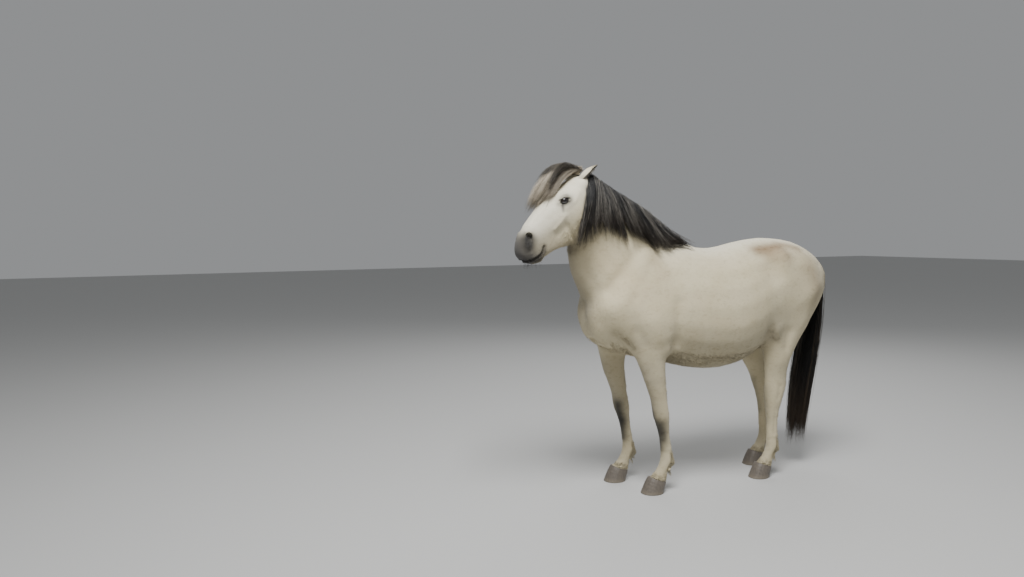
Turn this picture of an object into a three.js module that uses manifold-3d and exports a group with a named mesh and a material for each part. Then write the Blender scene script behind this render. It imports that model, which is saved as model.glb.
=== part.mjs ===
// An Icelandic horse standing still, life size, as a set of closed solids.
// Millimetres, +Z up. The horse faces -X, so that its left side is -Y, and its hooves stand on Z = 0.
import * as THREE from "three";
import { mergeVertices } from "three/addons/utils/BufferGeometryUtils.js";
import Module from "manifold-3d";

const wasm = await Module();
wasm.setup();

// Driving dimensions
const GAP = 0.35; // left open where two nodes meet
const LEFT = -1; // sign of Y on the left side
const RIGHT = 1;
const POLL = new THREE.Vector3(-800, -66, 1722); // the top of the head, between the ears
const HEAD_PITCH = THREE.MathUtils.degToRad(42); // how far the face points down
const HEAD_YAW = THREE.MathUtils.degToRad(13); // how far it turns to the left
const HEAD_ROLL = THREE.MathUtils.degToRad(4); // how far it tips over to the right
const FORE_STRIDE = -88; // the right forefoot stands this far ahead of the left one
const HIND_STRIDE = 136; // the right hind foot stands this far behind the left one
const EYE_RADIUS = 22;
const EAR_LENGTH = 129;
const SEED = 7;

// How finely the skins are drawn: points round a section, and sections along it.
const TRUNK_MESH = [22, 22];
const NECK_MESH = [20, 10];
const LEG_MESH = [12, 21];
const HEAD_MESH = [24, 23];
const HOOF_MESH = [18, 4];

// Where the legs leave the trunk: name, the box's ends along X, side, and height.
const LEG_CUTS = [
  ["foreleg_left", -800, -300, LEFT, 752],
  ["foreleg_right", -800, -350, RIGHT, 752],
  ["hindleg_left", 200, 800, LEFT, 800],
  ["hindleg_right", 200, 800, RIGHT, 800],
];
const NECK_BASE = new THREE.Vector3(-520, 0, 1215); // the neck leaves the trunk here
const NECK_WAY = new THREE.Vector3(-0.8, 0, 0.62);
const HEAD_BASE = [-6, 0, 30]; // the head leaves the neck here, in the head's own measure
const HEAD_WAY = [0.86, 0, 0.51];

// Points on the body that are eased after the parts are joined: X, distance from the midline, Z, reach in X, Y, Z, and share.
const SOFT_PLACES = [
  [-500, 200, 850, 190, 110, 190, 0.7], // shoulder and elbow
  [540, 200, 960, 300, 140, 240, 0.7], // thigh
  [-560, 0, 1180, 240, 300, 300, 0.6], // neck on the trunk
  [-790, 60, 1560, 60, 130, 150, 0.5], // throat
];

// The trunk, from rump to breast: place along X, top, bottom, half width, share of the height
// at which it is widest, and the exponents of the upper and the lower half of the section.
const TRUNK_ROWS = [
  [-768, 1132, 925, 96, 0.5, 2, 2],
  [-728, 1196, 846, 166, 0.5, 2, 2],
  [-640, 1268, 786, 208, 0.46, 1.9, 2.1],
  [-545, 1340, 758, 231, 0.42, 1.8, 2.2],
  [-440, 1386, 740, 244, 0.4, 1.7, 2.3],
  [-340, 1400, 716, 256, 0.4, 1.7, 2.3],
  [-240, 1384, 684, 278, 0.42, 1.85, 2.2],
  [-140, 1354, 656, 302, 0.44, 2, 2.1],
  [-30, 1337, 641, 320, 0.45, 2.1, 2.1],
  [70, 1342, 647, 324, 0.46, 2.1, 2.1],
  [170, 1364, 672, 314, 0.48, 2.1, 2.1],
  [270, 1382, 722, 296, 0.5, 2.1, 2.1],
  [365, 1392, 780, 284, 0.52, 2.2, 2],
  [460, 1389, 815, 276, 0.52, 2.2, 2],
  [555, 1368, 842, 258, 0.53, 2.2, 2],
  [640, 1330, 885, 224, 0.54, 2.2, 2],
  [708, 1284, 945, 180, 0.55, 2.1, 2],
  [752, 1236, 1010, 132, 0.55, 2, 2],
  [778, 1192, 1080, 72, 0.5, 2, 2],
];
const BREAST_TIP = [-781, 1030];
const RUMP_TIP = [786, 1136];

// The neck, from the withers up: station, crest X and Z, throat X and Z, half width, and Y.
const NECK_ROWS = [
  [0, -280, 1385, -655, 930, 200, 0],
  [1, -360, 1450, -752, 1040, 182, 0],
  [2, -455, 1524, -826, 1146, 154, -8],
  [3, -560, 1598, -862, 1246, 127, -24],
  [4, -662, 1658, -874, 1342, 102, -42],
  [5, -746, 1702, -874, 1430, 82, -58],
  [6, -800, 1716, -880, 1480, 70, -68],
];

// A fore and a hind leg: height, front X, rear X, distance from the midline, half width, and exponent.
const FORE_ROWS = [
  [72, -444, -342, 138, 47, 2.2],
  [94, -424, -338, 138, 37, 2.1],
  [120, -402, -324, 138, 34, 2.1],
  [148, -384, -304, 139, 36, 2.1],
  [176, -374, -288, 140, 39, 2.2],
  [212, -374, -300, 141, 31, 2.2],
  [270, -380, -310, 142, 26, 2.3],
  [345, -394, -322, 144, 28, 2.3],
  [392, -410, -325, 145, 41, 2.4],
  [440, -424, -328, 146, 49, 2.4],
  [488, -430, -338, 148, 46, 2.3],
  [560, -454, -346, 150, 46, 2.1],
  [645, -490, -352, 152, 55, 2.1],
  [720, -522, -350, 153, 66, 2.1],
  [790, -558, -346, 152, 78, 2.1],
  [850, -606, -346, 149, 88, 2.1],
  [920, -660, -366, 144, 95, 2.1],
  [1010, -694, -386, 136, 98, 2.1],
  [1100, -680, -390, 126, 92, 2.1],
  [1190, -620, -380, 112, 76, 2.1],
];
const HIND_ROWS = [
  [72, 272, 370, 122, 45, 2.2],
  [94, 292, 374, 122, 36, 2.1],
  [120, 314, 386, 122, 33, 2.1],
  [148, 332, 406, 123, 35, 2.1],
  [176, 342, 424, 124, 39, 2.2],
  [212, 342, 416, 125, 32, 2.2],
  [270, 340, 412, 126, 28, 2.3],
  [350, 336, 412, 128, 30, 2.3],
  [420, 326, 424, 130, 40, 2.3],
  [480, 318, 444, 133, 48, 2.2],
  [530, 314, 458, 136, 48, 2],
  [562, 314, 460, 139, 46, 1.9],
  [610, 310, 456, 144, 50, 1.9],
  [670, 303, 470, 150, 62, 1.9],
  [740, 296, 510, 156, 78, 2],
  [810, 290, 572, 158, 96, 2],
  [880, 288, 654, 156, 108, 2.1],
  [960, 292, 712, 150, 114, 2.1],
  [1060, 312, 736, 140, 110, 2.1],
  [1160, 350, 712, 128, 92, 2.1],
];

// The head, from the poll to the lips: place along the face, top, bottom, and the half widths
// of the forehead's edge, of the cheekbone, of the cheek and of the jaw's edge.
const HEAD_ROWS = [
  [-38, -4, -122, 24, 46, 48, 28],
  [10, 24, -140, 40, 66, 64, 40],
  [70, 50, -172, 52, 86, 80, 46],
  [140, 66, -206, 62, 97, 90, 50],
  [205, 75, -222, 60, 98, 91, 48],
  [265, 80, -222, 52, 86, 83, 45],
  [325, 79, -200, 43, 72, 67, 41],
  [385, 73, -170, 38, 59, 54, 37],
  [440, 65, -147, 36, 54, 49, 35],
  [490, 53, -130, 36, 58, 50, 34],
  [530, 38, -118, 34, 57, 48, 31],
  [562, 16, -98, 26, 48, 41, 24],
  [580, -8, -78, 14, 32, 28, 14],
];
const HEAD_BACK = [-56, -60];
const HEAD_FRONT = [587, -44];
const LEVELS = [0.06, 0.27, 0.6, 0.92]; // shares of the depth at which those widths are taken

// Swellings and hollows of the body: X, distance from the midline, Z, their reach in X, Y and Z, and height.
const BODY_FORMS = [
  [-700, 150, 1040, 60, 90, 90, 14], // point of the shoulder
  [-705, 0, 960, 60, 40, 130, -16], // furrow of the breast
  [-430, 240, 880, 80, 80, 95, 12], // muscle above the elbow
  [-500, 240, 1150, 70, 90, 150, 8], // shoulder blade
  [-300, 250, 870, 50, 90, 130, -9], // behind the elbow
  [350, 270, 1290, 55, 90, 60, 15], // point of the hip
  [265, 290, 1190, 70, 90, 90, -12], // hollow of the flank
  [540, 270, 1080, 120, 90, 130, 10], // thigh
  [620, 0, 1390, 200, 26, 80, -9], // furrow of the croup
  [780, 0, 1090, 90, 34, 130, -26], // cleft below the tail
];
const HEAD_FORMS = [
  [204, 80, 50, 34, 40, 18, 9], // brow
  [140, 76, 50, 24, 40, 18, -8], // hollow above the eye
  [285, 80, -42, 90, 40, 14, 5], // crest of the cheekbone
  [195, 92, -130, 70, 60, 55, 6], // cheek muscle
  [345, 64, -92, 60, 40, 34, -6], // behind the lips
  [492, 58, 8, 30, 34, 24, 7], // wing of the nostril
  [516, 20, -116, 26, 36, 26, 8], // chin
  [560, 0, -50, 30, 40, 30, 5], // upper lip
  [60, 0, 60, 60, 20, 30, 5], // crown of the forehead
];

// Plain helpers

// Rows of [place, value, value, ...], placed in order, become a smooth curve that gives the values at any place.
function smoothRows(rows) {
  const slope = (i, k) => {
    const before = rows[Math.max(i - 1, 0)];
    const after = rows[Math.min(i + 1, rows.length - 1)];
    return (after[k] - before[k]) / (after[0] - before[0]);
  };
  return (place) => {
    const later = rows.findIndex((row) => row[0] > place);
    const i = later < 0 ? rows.length - 2 : Math.max(later - 1, 0);
    const span = rows[i + 1][0] - rows[i][0];
    const u = THREE.MathUtils.clamp((place - rows[i][0]) / span, 0, 1);
    return rows[i].slice(1).map((value, k) => {
      const next = rows[i + 1][k + 1];
      const rise = u * u * (3 - 2 * u);
      const lean = u * (1 - u) * (1 - u) * slope(i, k + 1) - u * u * (1 - u) * slope(i + 1, k + 1);
      return value + (next - value) * rise + span * lean;
    });
  };
}

// Places from first to last, set closer together where the rows themselves stand closer.
function placesOf(rows, count) {
  return Array.from({ length: count }, (_, j) => {
    const u = (j / (count - 1)) * (rows.length - 1);
    const i = Math.min(Math.floor(u), rows.length - 2);
    return THREE.MathUtils.lerp(rows[i][0], rows[i + 1][0], u - i);
  });
}

const power = (value, exponent) => Math.sign(value) * Math.abs(value) ** exponent;
const ease = (u) => THREE.MathUtils.smoothstep(u, 0, 1);
const vec = (x, y, z) => new THREE.Vector3(x, y, z);

// How far the forms push a point outwards.
function formHeight(forms, along, across, up) {
  return forms.reduce((sum, [x, y, z, rx, ry, rz, height]) => {
    const far = ((along - x) / rx) ** 2 + ((Math.abs(across) - y) / ry) ** 2 + ((up - z) / rz) ** 2;
    return sum + height * Math.exp(-far);
  }, 0);
}

// A three.js geometry as a solid.
function solidOf(shape) {
  shape.deleteAttribute("normal");
  shape.deleteAttribute("uv");
  const merged = mergeVertices(shape, 1e-3);
  const make = (triVerts) =>
    new wasm.Manifold(
      new wasm.Mesh({ numProp: 3, vertProperties: merged.attributes.position.array, triVerts }),
    );
  const faces = new Uint32Array(merged.index.array);
  const solid = make(faces);
  if (solid.volume() > 0) return solid;
  for (let i = 0; i < faces.length; i += 3) [faces[i + 1], faces[i + 2]] = [faces[i + 2], faces[i + 1]];
  return make(faces);
}

// A closed skin over rings of points: a sphere's rows are moved onto the rings, and its poles onto the two ends.
function loft(rings, start, end) {
  const around = rings[0].length;
  const shape = new THREE.SphereGeometry(1, around, rings.length + 1);
  const position = shape.getAttribute("position");
  for (let row = 0; row <= rings.length + 1; row += 1)
    for (let step = 0; step <= around; step += 1) {
      const ring = row === 0 ? null : rings[row - 1];
      const p = row === 0 ? start : ring ? ring[step % around] : end;
      position.setXYZ(row * (around + 1) + step, p.x, p.y, p.z);
    }
  return solidOf(shape);
}

// A form that may bend sharply: each stretch between two sections is the hull of its own points.
function chain(sections, start, end) {
  const all = [[start], ...sections, [end]].map((section) => section.map((p) => p.toArray()));
  return join(all.slice(1).map((section, i) => wasm.Manifold.hull([...all[i], ...section])));
}

function ball(radii, place, matrix = new THREE.Matrix4(), around = 20) {
  const shape = new THREE.SphereGeometry(1, around, Math.round(around * 0.6));
  shape.scale(radii[0], radii[1], radii[2]).translate(place[0], place[1], place[2]);
  return solidOf(shape.applyMatrix4(matrix));
}

function block(low, high, matrix = new THREE.Matrix4()) {
  const shape = new THREE.BoxGeometry(high[0] - low[0], high[1] - low[1], high[2] - low[2]);
  shape.translate((low[0] + high[0]) / 2, (low[1] + high[1]) / 2, (low[2] + high[2]) / 2);
  return solidOf(shape.applyMatrix4(matrix));
}

const join = (solids) => wasm.Manifold.union(solids);

// A solid's points and faces, with what is worked out from them.
function meshOf(solid) {
  const raw = solid.getMesh();
  const points = [];
  for (let i = 0; i < raw.numVert; i += 1)
    points.push(new THREE.Vector3().fromArray(raw.vertProperties, i * raw.numProp));
  const faces = [];
  for (let i = 0; i < raw.numTri; i += 1) faces.push([...raw.triVerts.slice(3 * i, 3 * i + 3)]);
  return { points, faces };
}

function solidFrom({ points, faces }) {
  return new wasm.Manifold(
    new wasm.Mesh({
      numProp: 3,
      vertProperties: new Float32Array(points.flatMap((p) => [p.x, p.y, p.z])),
      triVerts: new Uint32Array(faces.flat()),
    }),
  );
}

// Only the largest closed surface of a solid: loose crumbs and sealed pockets are left out.
const largest = (solid) =>
  solid.decompose().reduce((best, piece) => (piece.volume() > best.volume() ? piece : best));

// The same solid with its surface moved outwards, by a distance that may differ from point to point.
function moved(solid, distanceAt) {
  const { points, faces } = meshOf(solid);
  const normals = points.map(() => vec(0, 0, 0));
  faces.forEach((face) => {
    const [a, b, c] = face.map((i) => points[i]);
    const normal = b.clone().sub(a).cross(c.clone().sub(a)).normalize();
    face.forEach((i) => normals[i].add(normal));
  });
  const places = points.map((p, i) => p.clone().addScaledVector(normals[i].normalize(), distanceAt(p)));
  return solidFrom({ points: places, faces });
}

const grown = (solid, distance) => moved(solid, () => distance);

// Where two sheets of a surface touch at a point or along an edge, they are drawn apart a little.
function parted(solid) {
  const key = (p) => [p.x, p.y, p.z].map((value) => Math.round(value * 500)).join();
  const count = new Map();
  meshOf(solid).points.forEach((p) => count.set(key(p), (count.get(key(p)) ?? 0) + 1));
  return moved(solid, (p) => (count.get(key(p)) > 1 ? -0.06 : 0));
}

// The same solid with its creases eased: each point is drawn to its neighbours by the share that weightAt gives.
function eased(solid, weightAt, passes) {
  const { points, faces } = meshOf(solid);
  const near = points.map(() => new Set());
  faces.forEach((face) => face.forEach((i, k) => near[i].add(face[(k + 1) % 3]).add(face[(k + 2) % 3])));
  const weights = points.map(weightAt);
  for (let pass = 0; pass < passes; pass += 1) {
    const moved = points.map((p, i) => {
      if (weights[i] < 0.01) return p;
      const mean = vec(0, 0, 0);
      near[i].forEach((j) => mean.add(points[j]));
      return p.clone().lerp(mean.divideScalar(near[i].size), weights[i]);
    });
    moved.forEach((p, i) => points[i].copy(p));
  }
  return solidFrom({ points, faces });
}

// The nearest point of a solid's surface, and the direction that faces out there.
function surfaceOf(solid) {
  const { points, faces } = meshOf(solid);
  const triangles = faces.map((face) => {
    const triangle = new THREE.Triangle(...face.map((i) => points[i]));
    return { triangle, middle: triangle.getMidpoint(vec(0, 0, 0)), normal: triangle.getNormal(vec(0, 0, 0)) };
  });
  const spot = vec(0, 0, 0);
  return (point) => {
    const reach = Math.sqrt(Math.min(...triangles.map((t) => t.middle.distanceToSquared(point)))) + 90;
    let best = { distance: Infinity };
    triangles.forEach(({ triangle, middle, normal }) => {
      if (middle.distanceToSquared(point) > reach * reach) return;
      triangle.closestPointToPoint(point, spot);
      const distance = spot.distanceTo(point);
      if (distance < best.distance) best = { distance, place: spot.clone(), normal };
    });
    return best;
  };
}

// The trunk and the neck

function trunk() {
  const at = smoothRows(TRUNK_ROWS);
  const [around, count] = TRUNK_MESH;
  const rings = placesOf(TRUNK_ROWS, count).map((x) => {
    const [top, bottom, half, level, upper, lower] = at(x);
    const middle = bottom + (top - bottom) * level;
    return Array.from({ length: around }, (_, k) => {
      const turn = (2 * Math.PI * (k + 0.5)) / around;
      const exponent = 2 / (Math.sin(turn) > 0 ? upper : lower);
      const y = half * power(Math.cos(turn), exponent);
      const rise = Math.sin(turn) > 0 ? top - middle : middle - bottom;
      const z = middle + rise * power(Math.sin(turn), exponent);
      const out = vec(0, y / half, (z - middle) / rise).normalize();
      return vec(x, y, z).addScaledVector(out, formHeight(BODY_FORMS, x, y, z));
    });
  });
  return loft(rings, vec(BREAST_TIP[0], 0, BREAST_TIP[1]), vec(RUMP_TIP[0], 0, RUMP_TIP[1]));
}

const neckAt = smoothRows(NECK_ROWS);

// A point of the neck's surface: station along it, and the turn from the crest round the left side to the throat.
function neckPoint(station, turn) {
  const [crestX, crestZ, throatX, throatZ, half, y] = neckAt(station);
  const crest = vec(crestX, y, crestZ);
  const throat = vec(throatX, y, throatZ);
  const up = crest.clone().sub(throat).multiplyScalar(0.5);
  const across = Math.sin(turn);
  const rise = Math.cos(turn);
  const slim = 1 - (rise > 0 ? 0.3 : 0.16) * rise * rise;
  return crest
    .add(throat)
    .multiplyScalar(0.5)
    .addScaledVector(up, power(rise, 0.92))
    .add(vec(0, LEFT * half * slim * across, 0));
}

function neck() {
  const [around, count] = NECK_MESH;
  const last = NECK_ROWS.length - 1;
  const rings = Array.from({ length: count }, (_, j) => {
    const station = (j / (count - 1)) * last;
    return Array.from({ length: around }, (_, k) => neckPoint(station, (2 * Math.PI * (k + 0.5)) / around));
  });
  const middle = (station) => neckPoint(station, 0).add(neckPoint(station, Math.PI)).multiplyScalar(0.5);
  return loft(rings, middle(0), middle(last));
}

// The legs

// How far a leg's own step carries it along X, at a height: all of it below the joint that swings.
function stepAt(stride, hipZ, kneeZ, z) {
  return stride * ease((hipZ - z) / (hipZ - kneeZ));
}

function leg(rows, side, stride, hipZ, kneeZ) {
  const at = smoothRows(rows);
  const [around, count] = LEG_MESH;
  const rings = placesOf(rows, count).map((z) => {
    const [front, rear, out, half, exponent] = at(z);
    const step = side === RIGHT ? stepAt(stride, hipZ, kneeZ, z) : 0;
    return Array.from({ length: around }, (_, k) => {
      const turn = (2 * Math.PI * (k + 0.5)) / around;
      const x = (front + rear) / 2 + ((rear - front) / 2) * power(Math.cos(turn), 2 / exponent);
      const y = side * out + half * power(Math.sin(turn), 2 / exponent);
      const tilt = CORONET_TILT * (x - (front + rear) / 2) * ease((130 - z) / 50);
      const lift = formHeight(BODY_FORMS, x, y, z) * (side * y > out ? 1 : 0);
      return vec(x + step, y + side * lift, z - tilt);
    });
  });
  const middle = (ring) => ring.reduce((sum, p) => sum.add(p), vec(0, 0, 0)).divideScalar(ring.length);
  return loft(rings, middle(rings[0]), middle(rings[rings.length - 1]));
}

const CORONET_TILT = 0.36; // the coronet falls this much for each millimetre towards the heel
const CORONET_Z = 72;
const HOOF_LEAN = 32; // the sole lies this far ahead of the coronet

function hoof(rows, side, stride, width) {
  const [, front, rear, out, half] = rows[0];
  const [around, rings] = HOOF_MESH;
  const step = side === RIGHT ? stride : 0;
  const middleX = (front + rear) / 2 + step;
  const reach = (rear - front) / 2 + 2;
  const ringAt = (u, inset) =>
    Array.from({ length: around }, (_, k) => {
      const turn = (2 * Math.PI * (k + 0.5)) / around;
      const ahead = -Math.cos(turn);
      const across = Math.sin(turn);
      const spread = THREE.MathUtils.lerp(half + 1, width, u) - inset;
      const long = THREE.MathUtils.lerp(reach, width * 1.06, u) - inset;
      const shift = THREE.MathUtils.lerp(0, -HOOF_LEAN, u);
      const heel = ahead < 0 ? 1 - 0.16 * ahead * ahead * (1 - Math.abs(across)) : 1;
      const x = middleX + shift - long * power(ahead, 0.92) * heel;
      const top = CORONET_Z - GAP - 0.2 - CORONET_TILT * (x - middleX);
      return vec(x, side * out + spread * across, THREE.MathUtils.lerp(top, 0, u));
    });
  const walls = Array.from({ length: rings }, (_, j) => ringAt(j / (rings - 1), 0));
  walls[0] = ringAt(0, 1.5);
  const top = vec(middleX, side * out, CORONET_Z - GAP - 0.2);
  return loft(walls, top, vec(middleX - HOOF_LEAN, side * out, 0));
}

// The head

const headMatrix = (() => {
  const [cosP, sinP] = [Math.cos(HEAD_PITCH), Math.sin(HEAD_PITCH)];
  const [cosY, sinY] = [Math.cos(HEAD_YAW), Math.sin(HEAD_YAW)];
  const along = vec(-cosP * cosY, -cosP * sinY, -sinP);
  const up = vec(-sinP * cosY, -sinP * sinY, cosP);
  const side = up.clone().cross(along).negate();
  const roll = new THREE.Matrix4().makeRotationAxis(along, HEAD_ROLL);
  return new THREE.Matrix4()
    .makeTranslation(POLL)
    .multiply(roll)
    .multiply(new THREE.Matrix4().makeBasis(along, side, up));
})();

// A point given along the face, to the right of its midline, and above its axis.
const onHead = (along, right, up) => vec(along, right, up).applyMatrix4(headMatrix);

function headSection(along, around) {
  const [top, bottom, brow, bone, cheek, jaw] = smoothRows(HEAD_ROWS)(along);
  const depth = top - bottom;
  const levels = LEVELS.map((share) => top - share * depth);
  const half = [
    [brow, levels[0]],
    [bone, levels[1]],
    [cheek, levels[2]],
    [jaw, levels[3]],
  ];
  const outline = [[0, top], ...half, [0, bottom], ...half.map(([w, z]) => [-w, z]).reverse()];
  const curve = new THREE.CatmullRomCurve3(
    outline.map(([w, z]) => vec(along, w, z)),
    true,
    "centripetal",
  );
  return curve
    .getSpacedPoints(around)
    .slice(0, around)
    .map((p) => {
      const out = vec(0, p.y, p.z - (top + bottom) / 2).normalize();
      return p.addScaledVector(out, formHeight(HEAD_FORMS, p.x, p.y, p.z));
    });
}

function skull() {
  const [around, count] = HEAD_MESH;
  const rings = placesOf(HEAD_ROWS, count).map((place) => headSection(place, around));
  const world = rings.map((ring) => ring.map((p) => p.applyMatrix4(headMatrix)));
  return loft(world, onHead(HEAD_BACK[0], 0, HEAD_BACK[1]), onHead(HEAD_FRONT[0], 0, HEAD_FRONT[1]));
}

const EYE_PLACE = [217, 71, 17]; // along the face, from the midline, above the axis
const SLIT_LONG = 21; // half the length of the opening between the lids
const SLIT_HIGH = 12;
const SLIT_TILT = THREE.MathUtils.degToRad(25); // its front corner is raised this far from the head's axis

function eyeball(side) {
  const [along, out, up] = EYE_PLACE;
  return ball([EYE_RADIUS, EYE_RADIUS, EYE_RADIUS], [along, side * out, up], headMatrix, 12);
}

// The lids are a shell over the eyeball, open along an almond.
function lids(side) {
  const [along, out, up] = EYE_PLACE;
  const shell = EYE_RADIUS + 3;
  return ball([shell + 4, shell, shell], [along, side * out, up], headMatrix, 16);
}

function eyeSlit(side) {
  const [along, out, up] = EYE_PLACE;
  const tilted = new THREE.Matrix4().makeTranslation(along, side * (out + EYE_RADIUS), up);
  const matrix = headMatrix.clone().multiply(tilted).multiply(new THREE.Matrix4().makeRotationY(-SLIT_TILT));
  return ball([SLIT_LONG, EYE_RADIUS + 4, SLIT_HIGH], [0, 0, 0], matrix, 14);
}

function nostril(side) {
  const around = 10;
  const path = [
    [528, 30, -8],
    [514, 45, 0],
    [498, 54, 12],
    [482, 55, 22],
  ];
  const rings = path.map(([along, out, up], j) =>
    Array.from({ length: around }, (_, k) => {
      const turn = (2 * Math.PI * k) / around;
      const size = [11, 16, 14, 6][j];
      return onHead(
        along + size * 0.55 * Math.cos(turn) - size * 0.5 * Math.sin(turn),
        side * (out + 16 * Math.sin(turn)),
        up + size * Math.cos(turn),
      );
    }),
  );
  return loft(rings, onHead(532, side * 26, -10), onHead(478, side * 55, 25));
}

// The line of the mouth: a thin wedge let into the lips, from one corner round the front to the other.
function mouthLine(headSurface) {
  const steps = 13;
  const path = Array.from({ length: steps }, (_, j) => {
    const turn = Math.PI * (j / (steps - 1));
    const guess = onHead(472 + 128 * Math.sin(turn), 66 * Math.cos(turn), -94 + 46 * Math.sin(turn) ** 2);
    return headSurface(guess);
  });
  const rings = path.map(({ place, normal }, j) => {
    const before = path[Math.max(j - 1, 0)].place;
    const after = path[Math.min(j + 1, steps - 1)].place;
    const run = after.clone().sub(before).normalize();
    const wide = run.clone().cross(normal).normalize();
    const deep = 7 * Math.sin((Math.PI * (j + 0.8)) / (steps + 0.6)) + 1.5;
    return [
      place.clone().addScaledVector(normal, 3).addScaledVector(wide, 3.2),
      place.clone().addScaledVector(normal, 3).addScaledVector(wide, -3.2),
      place.clone().addScaledVector(normal, -deep),
    ];
  });
  const ends = [rings[0], rings[steps - 1]].map((ring) =>
    ring.reduce((sum, p) => sum.add(p), vec(0, 0, 0)).divideScalar(3),
  );
  return loft(rings, ends[0], ends[1]);
}

// An ear is a cup: a tapered shell, open to one side. Both ears are laid back.
const EARS = {
  [LEFT]: { root: [58, 54, 16], lean: vec(-0.98, 0.17, 0.03), open: vec(0, 0.5, -0.8) },
  [RIGHT]: { root: [58, 54, 16], lean: vec(-0.98, 0.16, 0.05), open: vec(0, 0.6, -0.6) },
};

function earShape(side, grow, along) {
  const { root, lean, open } = EARS[side];
  const up = lean.clone().normalize();
  const face = open.clone().addScaledVector(up, -open.dot(up)).normalize();
  const wide = up.clone().cross(face).normalize();
  const around = 10;
  const rings = Array.from({ length: 8 }, (_, j) => {
    const u = j / 7;
    const half = (24 + 14 * Math.sin(Math.PI * Math.min(u * 1.25, 1) * 0.75)) * (1 - u ** 2.6) + 2.5;
    const curl = 10 * u * u;
    return Array.from({ length: around }, (_, k) => {
      const turn = (2 * Math.PI * k) / around;
      const p = vec(root[0], root[1], root[2])
        .addScaledVector(up, u * EAR_LENGTH + along)
        .addScaledVector(face, grow.shift + curl * 0.6 + (half - grow.wall) * 0.66 * Math.cos(turn))
        .addScaledVector(wide, (half - grow.wall) * Math.sin(turn));
      return onHead(p.x, side * p.y, p.z);
    });
  });
  const end = (u, extra) => {
    const p = vec(root[0], root[1], root[2])
      .addScaledVector(up, u * EAR_LENGTH + along + extra)
      .addScaledVector(face, grow.shift + 6 * u);
    return onHead(p.x, side * p.y, p.z);
  };
  return loft(rings, end(0, -10), end(1, 5));
}

function ear(side) {
  const outer = earShape(side, { wall: 0, shift: 0 }, 0);
  const inner = earShape(side, { wall: 4.5, shift: 13 }, 16);
  return largest(outer.subtract(inner));
}

// The body as one piece, and its parting

const body = (() => {
  const legs = [LEFT, RIGHT].flatMap((side) => [
    leg(FORE_ROWS, side, FORE_STRIDE, 1010, 700),
    leg(HIND_ROWS, side, HIND_STRIDE, 860, 400),
  ]);
  const whole = join([trunk(), neck(), skull(), ...legs]);
  const weightAt = (p) =>
    Math.min(
      0.7,
      SOFT_PLACES.reduce((sum, [x, y, z, rx, ry, rz, share]) => {
        const far = ((p.x - x) / rx) ** 2 + ((Math.abs(p.y) - y) / ry) ** 2 + ((p.z - z) / rz) ** 2;
        return sum + share * Math.exp(-far * far);
      }, 0),
    );
  return eased(whole, weightAt, 7);
})();

// A half space: the block lies on the far side of a plane through a point, along the direction given.
function beyond(point, direction, reach = 3000) {
  const turn = new THREE.Quaternion().setFromUnitVectors(vec(0, 0, 1), direction.clone().normalize());
  const matrix = new THREE.Matrix4().compose(point, turn, vec(1, 1, 1));
  return block([-reach, -reach, 0], [reach, reach, reach], matrix);
}

const bodyNodes = (() => {
  const headFace = (shift) =>
    beyond(onHead(HEAD_BASE[0] + shift, HEAD_BASE[1], HEAD_BASE[2]), onHead(...HEAD_WAY).sub(POLL)).intersect(
      block([-260, -260, -224 + shift], [760, 260, 330], headMatrix),
    );
  const neckFace = (shift) => beyond(NECK_BASE.clone().addScaledVector(NECK_WAY, shift), NECK_WAY);
  const nodes = {};
  nodes.head = largest(body.intersect(headFace(GAP)));
  const rest = body.subtract(headFace(0));
  nodes.neck = largest(rest.intersect(neckFace(GAP)));
  let trunkPart = rest.subtract(neckFace(0));
  const legBox = ([, lowX, highX, side, z], shift) => {
    const y = [side * 12, side * 400].sort((a, b) => a - b);
    return block([lowX, y[0], -50], [highX, y[1], z - shift]);
  };
  LEG_CUTS.forEach((cut) => {
    nodes[cut[0]] = largest(trunkPart.intersect(legBox(cut, GAP)));
  });
  LEG_CUTS.forEach((cut) => {
    trunkPart = trunkPart.subtract(legBox(cut, 0));
  });
  nodes.torso = largest(trunkPart);
  return nodes;
})();

// The head's openings, lids and mouth
const headSurface = surfaceOf(bodyNodes.head);
bodyNodes.head = largest(
  join([bodyNodes.head, lids(LEFT), lids(RIGHT)])
    .subtract(join([LEFT, RIGHT].flatMap((side) => [grown(eyeball(side), GAP), eyeSlit(side), nostril(side)])))
    .subtract(mouthLine(headSurface)),
);

const bodySurface = surfaceOf(body);

// Hair

let seed = SEED;
function random() {
  seed = (seed * 16807) % 2147483647;
  return seed / 2147483647;
}
const vary = (value, share) => value * (1 + share * (2 * random() - 1));

// The point moved out until it clears the body.
function clearOf(point, lift) {
  const p = point.clone();
  for (let pass = 0; pass < 2; pass += 1) {
    const { place, normal } = bodySurface(p);
    const height = p.clone().sub(place).dot(normal);
    if (height < lift) p.copy(place).addScaledVector(normal, lift);
  }
  return p;
}

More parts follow.
